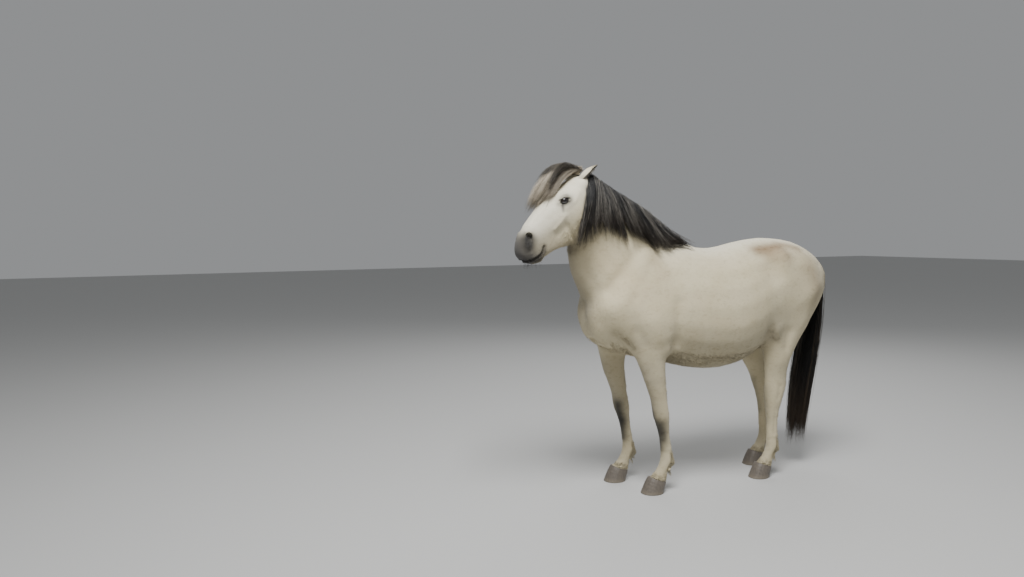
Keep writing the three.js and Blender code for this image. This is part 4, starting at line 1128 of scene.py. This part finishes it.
def unwrap(points):
    """Where each point lies on an unwrap of the skin: trunk and neck, head, and four legs."""
    x, y, z = (points * 1000).T
    x = x - SHIFT
    heart = np.interp(x, [-800, -500, -200, 750], [1500, 1200, 1020, 1080])
    turn = np.arctan2(y, z - heart)
    map_u = 0.02 + 0.56 * (x + 880) / 1800
    map_v = 0.02 + 0.96 * (turn / (2 * math.pi) + 0.5)
    along, right, up = head_measure(points).T
    head = (along > -40) & (z > 1200)
    map_u = np.where(head, 0.62 + 0.16 * np.clip((along + 60) / 680, 0, 1), map_u)
    around = np.arctan2(right, up + 50) / (2 * math.pi) + 0.5
    map_v = np.where(head, 0.02 + 0.96 * around, map_v)
    for number, (leg_x, leg_y) in enumerate(LEG_MIDDLES):
        mine = (z < 740) & (np.sign(y) == np.sign(leg_y)) & ((x < 0) == (leg_x < 0))
        around = np.arctan2(y - leg_y, x - leg_x) / (2 * math.pi) + 0.5
        map_u = np.where(mine, 0.82 + 0.16 * around, map_u)
        map_v = np.where(mine, 0.02 + 0.25 * number + 0.2 * z / 740, map_v)
    return np.clip(np.column_stack([map_u, map_v]), 0.003, 0.997)


BAKE_PATCH = 0.003


def strands(title, lines, radius, colours, taper=0.5, flat=0.6, mottle=None):
    """One piece of hair from lines, with a radius in metres and colours for each strand."""
    count, rings = lines.shape[:2]
    run = unit(np.gradient(lines, axis=1))
    roots = lines[:, 0]
    normals = [np.array(skin_tree.find_nearest(Vector(root))[1]) for root in roots]
    out = unit(np.stack(normals))[:, None, :]
    wide = unit(np.cross(run, out))
    face = np.cross(wide, run)
    share = np.linspace(0, 1, rings)[None, : rings - 1, None]
    thick = np.asarray(radius).reshape(-1, 1, 1) * (1 - taper * share) * np.minimum(1, (1 - share) * 4)
    body = rings - 1
    corners = []
    for turn in (math.pi / 2, math.pi * 7 / 6, math.pi * 11 / 6):
        corner = math.cos(turn) * wide[:, :body] + flat * math.sin(turn) * face[:, :body]
        corners.append(lines[:, :body] + thick * corner)
    tube = np.stack(corners, axis=2).reshape(count, body * 3, 3)
    points = np.concatenate([tube, lines[:, -1:]], axis=1).reshape(-1, 3)
    step = body * 3 + 1
    sides = [(k, (k + 1) % 3) for k in range(3)]
    quads = []
    for j in range(body - 1):
        quads += [(3 * j + k, 3 * j + m, 3 * j + 3 + m, 3 * j + 3 + k) for k, m in sides]
    tips = [(3 * (body - 1) + k, 3 * (body - 1) + m, 3 * body) for k, m in sides]
    plan = np.array([i for face_corners in (*quads, *tips, (2, 1, 0)) for i in face_corners])
    sizes = np.array([4] * len(quads) + [3] * 4)
    loops = (plan[None, :] + step * np.arange(count)[:, None]).ravel()
    starts = np.concatenate([[0], np.cumsum(np.tile(sizes, count))[:-1]])
    mesh = bpy.data.meshes.new(title)
    mesh.vertices.add(len(points))
    mesh.vertices.foreach_set("co", points.astype(np.float32).ravel())
    mesh.loops.add(len(loops))
    mesh.loops.foreach_set("vertex_index", loops.astype(np.int32))
    mesh.polygons.add(len(starts))
    mesh.polygons.foreach_set("loop_start", starts.astype(np.int32))
    mesh.update(calc_edges=True)
    piece = bpy.data.objects.new(title, mesh)
    bpy.context.scene.collection.objects.link(piece)
    colours = np.broadcast_to(colours, (count, rings, 3))
    at_points = np.concatenate([np.repeat(colours[:, :body], 3, axis=1), colours[:, -1:]], axis=1)
    speckle = None if mottle is None else np.repeat(mottle, step)
    paint(piece, at_points.reshape(-1, 3), speckle)
    home = np.repeat(unwrap(roots), step, axis=0)
    ring_of = np.append(np.repeat(np.arange(body), 3), body) / body - 0.5
    side_of = np.append(np.tile([-0.5, 0.0, 0.5], body), 0.0)
    patch = np.tile(np.column_stack([side_of, ring_of]) * BAKE_PATCH, (count, 1))
    layer = mesh.uv_layers.new(name="OFBake")
    layer.uv.foreach_set("vector", (home + patch)[loops].astype(np.float32).ravel())
    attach(piece, "root")
    print(title, count, "strands,", count * (2 * len(quads) + 4), "triangles")
    return piece


hair_stuff = Stuff("hair", (0.1, 0.1, 0.1), 0.42)
hair_stuff.plug(hair_stuff.painted("colour"), hair_stuff.shader.inputs["Base Color"])
hair_stuff.set("Specular IOR Level", 0.35)
DENSE = 1.0


def in_locks(controls, each, spread, clump, wave, shortest=0.72):
    """Strands round the guides of locks: each lock's places, by places by 3, to its strands' places."""
    locks, held = controls.shape[:2]
    count = int(each * DENSE)
    lines = np.repeat(controls, count, axis=0)
    scatter = chance.normal(0, 1, (len(lines), 1, 3)) * np.array(spread) / 1000
    drawn = 1 - clump * np.linspace(0, 1, held)[None, :, None]
    drift = chance.normal(0, wave / 1000, lines.shape) * np.linspace(0, 1, held)[None, :, None] ** 1.5
    cut = chance.uniform(shortest, 1.05, (len(lines), 1, 1))
    root = lines[:, :1]
    lines = root + (lines - root) * (1 + (cut - 1) * np.linspace(0, 1, held)[None, :, None])
    return lines + scatter * drawn + drift, np.repeat(np.arange(locks), count)


def shades(count, rings, dark, pale, share, tip, lock_of):
    """Colours for strands: from dark to pale, whole locks paler than others, with their own tips."""
    lock_tone = chance.uniform(0, 1, lock_of.max() + 1)[lock_of]
    tone = 0.55 * lock_tone + 0.6 * chance.uniform(0, 1, count) - (1 - share)
    tone = np.clip(np.clip(tone, 0, 1) / share, 0, 1)[:, None, None]
    colour = np.array(dark) + (np.array(pale) - np.array(dark)) * tone
    end = between(np.linspace(0, 1, rings), 0.55, 1.0)[None, :, None]
    colour = colour + (np.array(tip) - colour) * end * 0.5
    return colour * chance.uniform(0.75, 1.2, (count, 1, 1))


# %% [markdown]
# The mane springs from the crest in two rows and falls to both sides. Behind the ear it hangs down,
# and further back the wind blows it along the neck. It is charcoal, streaked with silver.

# %% The mane
CREST = np.array(
    [
        (-280, 0, 1385),
        (-360, 0, 1450),
        (-455, -8, 1524),
        (-560, -24, 1598),
        (-662, -42, 1658),
        (-746, -58, 1702),
        (-800, -68, 1716),
    ],
    float,
)
CREST_LINE = smooth_lines(CREST[None], 61)[0]


def crest(stations):
    """Places on the crest of the neck, from the withers at 0 to the poll at 6."""
    steps = np.linspace(0, 6, 61)
    return np.stack([np.interp(stations, steps, CREST_LINE[:, k]) for k in range(3)], axis=1)


def mane_guides(side, stations, blown):
    """The guides of one row of locks, in metres."""
    count = len(stations)
    back = np.where(blown, 1 - 0.38 * np.maximum(stations - 1.9, 0), 0.26 * (4.75 - stations))
    back = back + chance.normal(0, 0.05, count)
    fall = np.where(blown, 0.54 + 0.36 * (stations - 0.4), 1.0)
    long = np.where(blown, 140 + 56 * stations, 338 - 36 * (5.9 - stations))
    long = long * chance.uniform(0.78, 1.16, count)
    rise = 24 + 40 * between(-stations, -3.4, -1.8) + chance.uniform(0, 18, count)
    root = crest(stations) + np.array([0, side * 9.0, 2.0])
    way = unit(np.column_stack([back, np.full(count, side * 0.2), -fall]))
    sideways = np.array([0, side, 0])
    forward = np.array([1, 0, 0])
    long = long[:, None]
    guides = np.stack(
        [
            root,
            root + forward * back[:, None] * 22 + sideways * 24 + np.array([0, 0, 1]) * rise[:, None],
            root + sideways * 58 + way * long * 0.36,
            root + sideways * 72 + way * long * 0.7,
            root + sideways * 68 + way * long,
        ],
        axis=1,
    )
    guides[:, 2:] += chance.normal(0, 9, (count, 3, 3)) * np.array([1, 0.5, 0.6])
    guides[:, :, 0] += SHIFT
    return guides / 1000


WIND_FROM = 2.95  # the station where the wind starts to lift the mane
CHARCOAL, SILVER, MANE_TIP = (0.009, 0.0088, 0.009), (0.24, 0.22, 0.19), (0.06, 0.044, 0.03)


def mane(title, node, side, stretch, locks, each, volume):
    """One side of one stretch of the mane: how many locks, and how many strands in each."""
    stations = np.linspace(*stretch, locks) + chance.normal(0, 0.05, locks)
    guides = mane_guides(side, stations, stations < WIND_FROM)
    lines, lock_of = in_locks(guides, each, (9, 7, 5), 0.72, 8, 0.8)
    lines = smooth_lines(lines, 8)
    layer = chance.uniform(0, 1, len(lines))[:, None] ** 1.4
    lifts = 0.001 * (np.array([-3, 5, 6, 6, 6, 6, 6, 5])[None, :] + layer * volume)
    lines = relaxed(clear_of_skin(lines, lifts))
    colours = shades(len(lines), 8, CHARCOAL, SILVER, 0.34, MANE_TIP, lock_of)
    radius = chance.uniform(0.0008, 0.0014, len(lines))
    piece = strands(title, lines, radius, colours)
    piece.data.materials.append(hair_stuff.material)
    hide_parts(node)


HANGING, BLOWN = (6.0, 3.0), (3.1, 0.45)
HANGING_VOLUME = np.array([0, 18, 28, 30, 30, 28, 24, 16])
BLOWN_VOLUME = np.array([0, 24, 42, 52, 56, 54, 48, 38])
mane("mane_hanging_left", "mane_front", LEFT, HANGING, 50, 94, HANGING_VOLUME)
mane("mane_hanging_right", "mane_front", RIGHT, HANGING, 28, 60, HANGING_VOLUME)
mane("mane_blown_left", "mane_back", LEFT, BLOWN, 44, 86, BLOWN_VOLUME)
mane("mane_blown_right", "mane_back", RIGHT, BLOWN, 26, 60, BLOWN_VOLUME)

# %% [markdown]
# The forelock springs from between the ears. The wind lifts it forward over the forehead in a bow,
# so its tips hang in front of the face. It is blond underneath, and darker on top.

# %% The forelock
BROWN, BLOND, BLOND_TIP = (0.12, 0.10, 0.08), (0.66, 0.58, 0.45), (0.5, 0.43, 0.33)
locks = 42
across = np.linspace(-1.1, 1, locks) + chance.normal(0, 0.08, locks)
crown = np.arange(locks) % 4 == 0  # dark locks that lie on top
layer = np.where(crown, 0.74, 0.7 * chance.uniform(0, 1, locks))
reach = 330 * chance.uniform(0.84, 1.06, locks) - 24 * np.maximum(-across, 0)
reach = reach * np.where(crown, chance.uniform(0.5, 0.86, locks), 1)
side = 10 + 64 * across
guides = np.stack(
    [
        np.column_stack([4 + chance.normal(0, 10, locks), 17 * across, np.full(locks, 46)]),
        np.column_stack([np.full(locks, 12), 19 * across + 4, 66 + 24 * layer]),
        np.column_stack([reach * 0.36, side * 0.7 + 6, 84 + 84 * layer]),
        np.column_stack([reach * 0.66, side + 10, 84 + 92 * layer]),
        np.column_stack([reach, side + 18, 50 + 62 * layer + 30 * crown]),
    ],
    axis=1,
)
axes = np.array([FACE_ALONG, FACE_RIGHT, FACE_UP])
guides = guides @ axes / 1000 + np.array(POLL)
lines, lock_of = in_locks(guides, 90, (8, 8, 6), 0.6, 8, 0.84)
lines = smooth_lines(lines, 9)
lifts = lifts_for(lines, [-3, 5, 8, 9, 9, 9, 9, 9, 8])
lines = relaxed(clear_of_skin(lines, lifts))
colours = shades(len(lines), 9, BROWN, BLOND, 0.75, BLOND_TIP, lock_of)
colours = colours * np.where(crown, 0.22, 1.0)[lock_of][:, None, None]
radius = chance.uniform(0.0007, 0.0012, len(lines))
forelock = strands("forelock_hair", lines, radius, colours)
forelock.data.materials.append(hair_stuff.material)
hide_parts("forelock")

# %% [markdown]
# The tail hangs from a fleshy dock, clear of the hocks. It is black, with brown worn ends. Its hair
# is made in an outer and an inner half, so that neither piece grows too heavy.

# %% The tail
DOCK = np.array([(710, 0, 1238), (762, 0, 1208), (788, 0, 1136), (780, 0, 1030), (750, 0, 900)], float)
DOCK_LINE = smooth_lines(DOCK[None], 41)[0]
BLACK, SHEEN, TAIL_TIP = (0.011, 0.0105, 0.0105), (0.11, 0.085, 0.06), (0.10, 0.068, 0.042)


def on_dock(share):
    """Places along the dock, from its root at 0 to its end at 1."""
    steps = np.linspace(0, 1, 41)
    return np.stack([np.interp(share, steps, DOCK_LINE[:, k]) for k in range(3)], axis=1)


def tail_hair(title, locks, each, spread):
    """One half of the tail's hair, with its locks set round the dock in a spiral."""
    share = np.linspace(0.1, 0.97, locks)
    turn = np.arange(locks) * 2.4 + chance.normal(0, 0.2, locks)
    back, across = spread * np.cos(turn), spread * np.sin(turn)
    root = on_dock(share)
    end = 190 * chance.uniform(0.75, 1.3, locks)
    narrow = 1 - 0.35 * share
    guides = np.stack(
        [
            root + np.column_stack([14 * back, 18 * across, np.zeros(locks)]),
            root + np.column_stack([28 * back + 14, 36 * across, np.full(locks, -60)]),
            np.column_stack([718 + 50 * back, 66 * across, 700 - 60 * share]),
            np.column_stack([676 + 54 * back, 66 * narrow * across, np.full(locks, 440)]),
            np.column_stack([648 + 48 * back, 54 * narrow * across, end]),
        ],
        axis=1,
    )
    guides[:, :, 0] += SHIFT
    lines, lock_of = in_locks(guides / 1000, each, (7, 9, 10), 0.5, 7, 0.84)
    lines = smooth_lines(lines, 11)
    lifts = lifts_for(lines, [-4, 3] + [4] * 9)
    lines = relaxed(clear_of_skin(lines, lifts))
    colours = shades(len(lines), 11, BLACK, SHEEN, 0.35, TAIL_TIP, lock_of)
    radius = chance.uniform(0.0014, 0.0021, len(lines))
    piece = strands(title, lines, radius, colours, 0.6)
    piece.data.materials.append(hair_stuff.material)
    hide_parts("tail")


tail_hair("tail_outer", 44, 50, 1.0)
tail_hair("tail_inner", 34, 40, 0.5)

# %% The dock
DOCK_THICK = 24
bpy.ops.object.select_all(action="DESELECT")
bpy.ops.mesh.primitive_uv_sphere_add(segments=20, ring_count=16, radius=1.0, location=(0, 0, 0))
dock = bpy.context.object
dock.name = "dock"
ball = places(dock)
share = np.arccos(np.clip(ball[:, 2], -1, 1)) / math.pi
middle = on_dock(share)
middle[:, 0] += SHIFT
thick = DOCK_THICK * np.sqrt(np.clip(np.sin(math.pi * share), 0, 1)) * (1 - 0.45 * share)
flank = unit(np.column_stack([ball[:, :2], np.zeros(len(ball))])) * thick[:, None]
set_places(dock, (middle + flank) / 1000)
bpy.ops.object.shade_smooth()
dock.data.materials.append(Stuff("dock_skin", (0.02, 0.018, 0.017), 0.7).material)
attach(dock, "root")

# %% [markdown]
# Behind each fetlock grows a small feather of longer hair. Fur is short elsewhere, so most of it is
# drawn by the material. Tufts stand where the coat breaks the outline: along the belly and the
# breast, under the jaw, behind the legs and on the buttocks. Finer and flatter ones lie all over.


# %% Where and how the fur lies
def on_surface(piece, count, weight_of):
    """Random places on a piece's surface with their normals, denser where the weight is greater."""
    mesh = piece.data
    mesh.calc_loop_triangles()
    corners = read(mesh.loop_triangles, "vertices").astype(int)
    points = places(piece)
    a, b, c = (points[corners[:, k]] for k in range(3))
    normal = np.cross(b - a, c - a)
    area = np.linalg.norm(normal, axis=1)
    weight = area * weight_of((a + b + c) / 3, unit(normal))
    picked = chance.choice(len(corners), count, p=weight / weight.sum())
    u, v = chance.uniform(0, 1, (2, count, 1))
    fold = u + v > 1
    u, v = np.where(fold, 1 - u, u), np.where(fold, 1 - v, v)
    return a[picked] + (b[picked] - a[picked]) * u + (c[picked] - a[picked]) * v, unit(normal)[picked]


def zones(points, normals):
    """How far each point belongs to head, legs and longer hair, and its place down the face."""
    along, _, up = head_measure(points).T
    x, z = points[:, 0] * 1000 - SHIFT, points[:, 2] * 1000
    head = between(along, -20, 40) * between(z, 1180, 1260) * between(up, -275, -240)
    leg = between(-z, -740, -620)
    below = between(-normals[:, 2], 0.4, 0.9) * between(-z, -950, -850) * (1 - leg)
    jaw = head * between(-up, 60, 130) * between(-along, -420, -300)
    breast = between(-x, 690, 740) * between(-z, -1150, -1050) * (1 - leg)
    behind = leg * between(normals[:, 0], 0.3, 0.8) + between(x, 690, 740) * (1 - leg)
    return head, leg, np.clip(below + jaw + 0.2 * breast + 0.7 * behind, 0, 1), along


def lie(points, normals):
    """The way the fur lies: back and down on the trunk, down the legs, and down the face."""
    head, leg, _, _ = zones(points, normals)
    neck = between(points[:, 2], 1.25, 1.45)[:, None] * (1 - head)[:, None]
    way = np.array([0.8, 0, -0.6]) * (1 - neck) + np.array([0.55, 0, -0.83]) * neck
    way = way * (1 - leg)[:, None] + np.array([0.2, 0, -1]) * leg[:, None]
    right = head_measure(points)[:, 1]
    cheek = between(np.abs(right), 45, 75)[:, None]
    down_face, down_cheek = np.array(FACE_ALONG), np.array(FACE_ALONG * 0.15 - FACE_UP * 0.9)
    face = down_face * (1 - cheek) + down_cheek * cheek
    way = way * (1 - head)[:, None] + face * head[:, None]
    way = way + chance.normal(0, 0.13, way.shape)
    return unit(way - normals * np.sum(way * normals, axis=1)[:, None])


def tuft_weight(points, normals):
    """How close the tufts stand: closest where hair is long, few on the lips, none at the eye."""
    head, leg, longer, along = zones(points, normals)
    bare = np.maximum(between(along, 470, 520), points[:, 2] < 0.09) * 0.9
    away = np.hypot(along - EYE_PLACE[0], head_measure(points)[:, 2] - EYE_PLACE[2])
    eye = between(-away, -58, -44) * head
    return (0.14 + 0.2 * head + 0.35 * leg + 2.4 * longer) * (1 - bare) * (1 - eye)


def tufts(title, count, front, rear):
    """Tufts on the skin between two places along the body."""

    def weight(points, normals):
        x = points[:, 0] * 1000 - SHIFT
        return tuft_weight(points, normals) * ((x >= front) & (x < rear))

    roots, normals = on_surface(skin, int(count * DENSE), weight)
    head, leg, longer, _ = zones(roots, normals)
    way = lie(roots, normals)
    long = (13 - 6 * head - 2 * leg + 17 * longer) * chance.uniform(0.7, 1.25, len(roots)) / 1000
    rise = (0.03 + 0.23 * longer) * chance.uniform(0.5, 1.4, len(roots))
    mid = roots + (way * 0.5 + normals * rise[:, None] * 0.75) * long[:, None]
    tip = roots + (way + normals * rise[:, None]) * long[:, None]
    lines = np.stack([roots - normals * 0.0012, mid, tip], axis=1)
    colour, mottle = markings_and_painted_light(roots)
    colour = (colour * chance.uniform(0.94, 1.08, (len(roots), 1)))[:, None, :] * np.ones((1, 3, 1))
    radius = (0.0006 - 0.0002 * head + 0.0003 * longer) * chance.uniform(0.8, 1.2, len(roots))
    piece = strands(title, lines, radius, colour, 0.3, 0.4, mottle)
    piece.data.materials.append(coat.material)


ELBOW, FLANK = -330, 260
tufts("fur_front", 12000, -np.inf, ELBOW)
tufts("fur_middle", 11000, ELBOW, FLANK)
tufts("fur_rear", 13000, FLANK, np.inf)


# %% Feathers behind the fetlocks
def feather_weight(points, normals):
    """Feathers stand on the back of each leg, round the height of the fetlock."""
    height = points[:, 2] * 1000
    return between(height, 120, 150) * between(-height, -235, -200) * between(normals[:, 0], 0.0, 0.6)


roots, normals = on_surface(skin, int(2400 * DENSE), feather_weight)
long = chance.uniform(30, 58, len(roots))[:, None] / 1000
back = unit(normals * np.array([1, 1, 0]) + np.array([0.7, 0, 0]))
down = np.array([0.1, 0, -1.0])
lines = np.stack(
    [
        roots - normals * 0.002,
        roots + (back * 0.13 + down * 0.22) * long,
        roots + (back * 0.17 + down * 0.62) * long,
        roots + (back * 0.12 + down) * long,
    ],
    axis=1,
)
lines += chance.normal(0, 0.0015, lines.shape) * np.linspace(0, 1, 4)[None, :, None]
lines = clear_of_skin(smooth_lines(lines, 6), lifts_for(lines, [-2, 1, 2, 3, 3, 3]))
colour, mottle = markings_and_painted_light(roots)
colour = colour[:, None, :] * chance.uniform(0.5, 1.0, (len(roots), 1, 1))
# Painted shade: each feather is darker at its root by the skin and lighter at its tip.
colour = colour * np.linspace(0.9, 1.05, 6)[None, :, None]
radius = chance.uniform(0.0007, 0.0011, len(roots))
feather = strands("feathers", lines, radius, colour, 0.5, 0.7, mottle)
feather.data.materials.append(coat.material)

# %% [markdown]
# The coat ends in a short fringe that hangs over the top of each hoof. It hides the edge where skin
# and horn meet, as it does on the animal.


# %% The fringe over the hooves
def fringe_weight(points, normals):
    """The fringe stands in a band round each leg, just over the hoof."""
    return between(points[:, 2], 0.066, 0.078) * between(-points[:, 2], -0.118, -0.1)


roots, normals = on_surface(skin, int(2600 * DENSE), fringe_weight)
long = chance.uniform(18, 30, len(roots))[:, None] / 1000
outward = unit(normals * np.array([1, 1, 0]))
way = unit(np.array([-0.45, 0, -0.83]) + outward * 0.2)
mid = roots + (way * 0.45 + outward * 0.14) * long
tip = roots + (way + outward * 0.12) * long
lines = np.stack([roots - normals * 0.0015, mid, tip], axis=1)
colour, mottle = markings_and_painted_light(roots)
colour = (colour * chance.uniform(0.8, 1.05, (len(roots), 1)))[:, None, :] * np.ones((1, 3, 1))
radius = chance.uniform(0.0006, 0.001, len(roots))
fringe = strands("coronet_fringe", lines, radius, colour, 0.4, 0.6, mottle)
fringe.data.materials.append(coat.material)

# %% [markdown]
# The last hairs are the finest: lashes along the upper lids, stiff feelers on the lips and the chin,
# and the soft hair that fills the ears.

# %% Lashes and feelers
LASH_BLACK = (0.03, 0.026, 0.024)
LASH, FEELER = 0.00028, 0.00026
roots, ways, longs, thicks = [], [], [], []
for side in (LEFT, RIGHT):
    middle, ahead, long_axis, high = (np.array(v) for v in eye_axes(side))
    for turn in np.linspace(0.25, math.pi - 0.2, 46):
        a, b = slit_edge(turn)
        forth = math.sqrt(EYE_RADIUS**2 - a * a - b * b)
        way = (a * long_axis + b * high + forth * ahead) / EYE_RADIUS
        roots.append(middle + way * (EYE_RADIUS + 2.4) / 1000)
        ways.append(way + ahead * 0.6 - high * 0.25 + chance.normal(0, 0.08, 3))
        longs.append(chance.uniform(0.011, 0.018))
        thicks.append(LASH)
for _ in range(150):
    side = chance.choice([LEFT, RIGHT])
    place = on_head(
        chance.uniform(470, 580), side * chance.uniform(6, 46), chance.uniform(-122, -64)
    )
    root, normal, _, _ = skin_tree.find_nearest(place)
    roots.append(np.array(root) - np.array(normal) * 0.001)
    way = np.array(normal) + np.array(FACE_ALONG) * 0.2 + np.array([0, 0, -0.5])
    ways.append(way + chance.normal(0, 0.2, 3))
    longs.append(chance.uniform(0.016, 0.034))
    thicks.append(FEELER)
roots, ways = np.array(roots), unit(np.array(ways))
longs = np.array(longs)[:, None]
tips_at = roots + (ways + np.array([0, 0, -0.18])) * longs
lines = smooth_lines(np.stack([roots, roots + ways * longs * 0.5, tips_at], axis=1), 5)
lashes = strands("lashes_and_feelers", lines, np.array(thicks), LASH_BLACK, 0.5, 1.0)
lashes.data.materials.append(hair_stuff.material)

# %% The hair in the ears
roots, tips_at, tones = [], [], []
for side in (LEFT, RIGHT):
    root = np.array(on_head(EAR_ROOT[0], side * EAR_ROOT[1], EAR_ROOT[2]))
    tip = np.array(on_head(EAR_TIPS[side][0], side * EAR_TIPS[side][1], EAR_TIPS[side][2]))
    opening = ear_opening(side)
    opening = unit(opening - unit(tip - root) * (opening @ unit(tip - root)))
    wide = np.cross(unit(tip - root), opening)
    for _ in range(int(420 * DENSE)):
        share, edge = chance.uniform(0.08, 0.72), chance.choice([-1, 1])
        half = 0.024 * (1 - share**2.6) * edge
        start = root + (tip - root) * share + wide * half * 0.86 + opening * 0.004
        roots.append(start)
        way = -wide * edge * 0.75 + opening * 0.55 + unit(tip - root) * chance.uniform(0.3, 0.9)
        tips_at.append(start + unit(way + chance.normal(0, 0.15, 3)) * chance.uniform(0.014, 0.026))
        tones.append(chance.uniform(0.25, 0.6))
roots, tips_at, tones = np.array(roots), np.array(tips_at), np.array(tones)
lines = np.stack([roots, (roots + tips_at) / 2 + chance.normal(0, 0.001, roots.shape), tips_at], axis=1)
colour = tones[:, None, None] * np.array([1.0, 0.93, 0.8])
radius = chance.uniform(0.0004, 0.0007, len(roots))
ear_hair = strands("ear_hair", smooth_lines(lines, 5), radius, colour, 0.5, 0.8)
ear_hair.data.materials.append(hair_stuff.material)
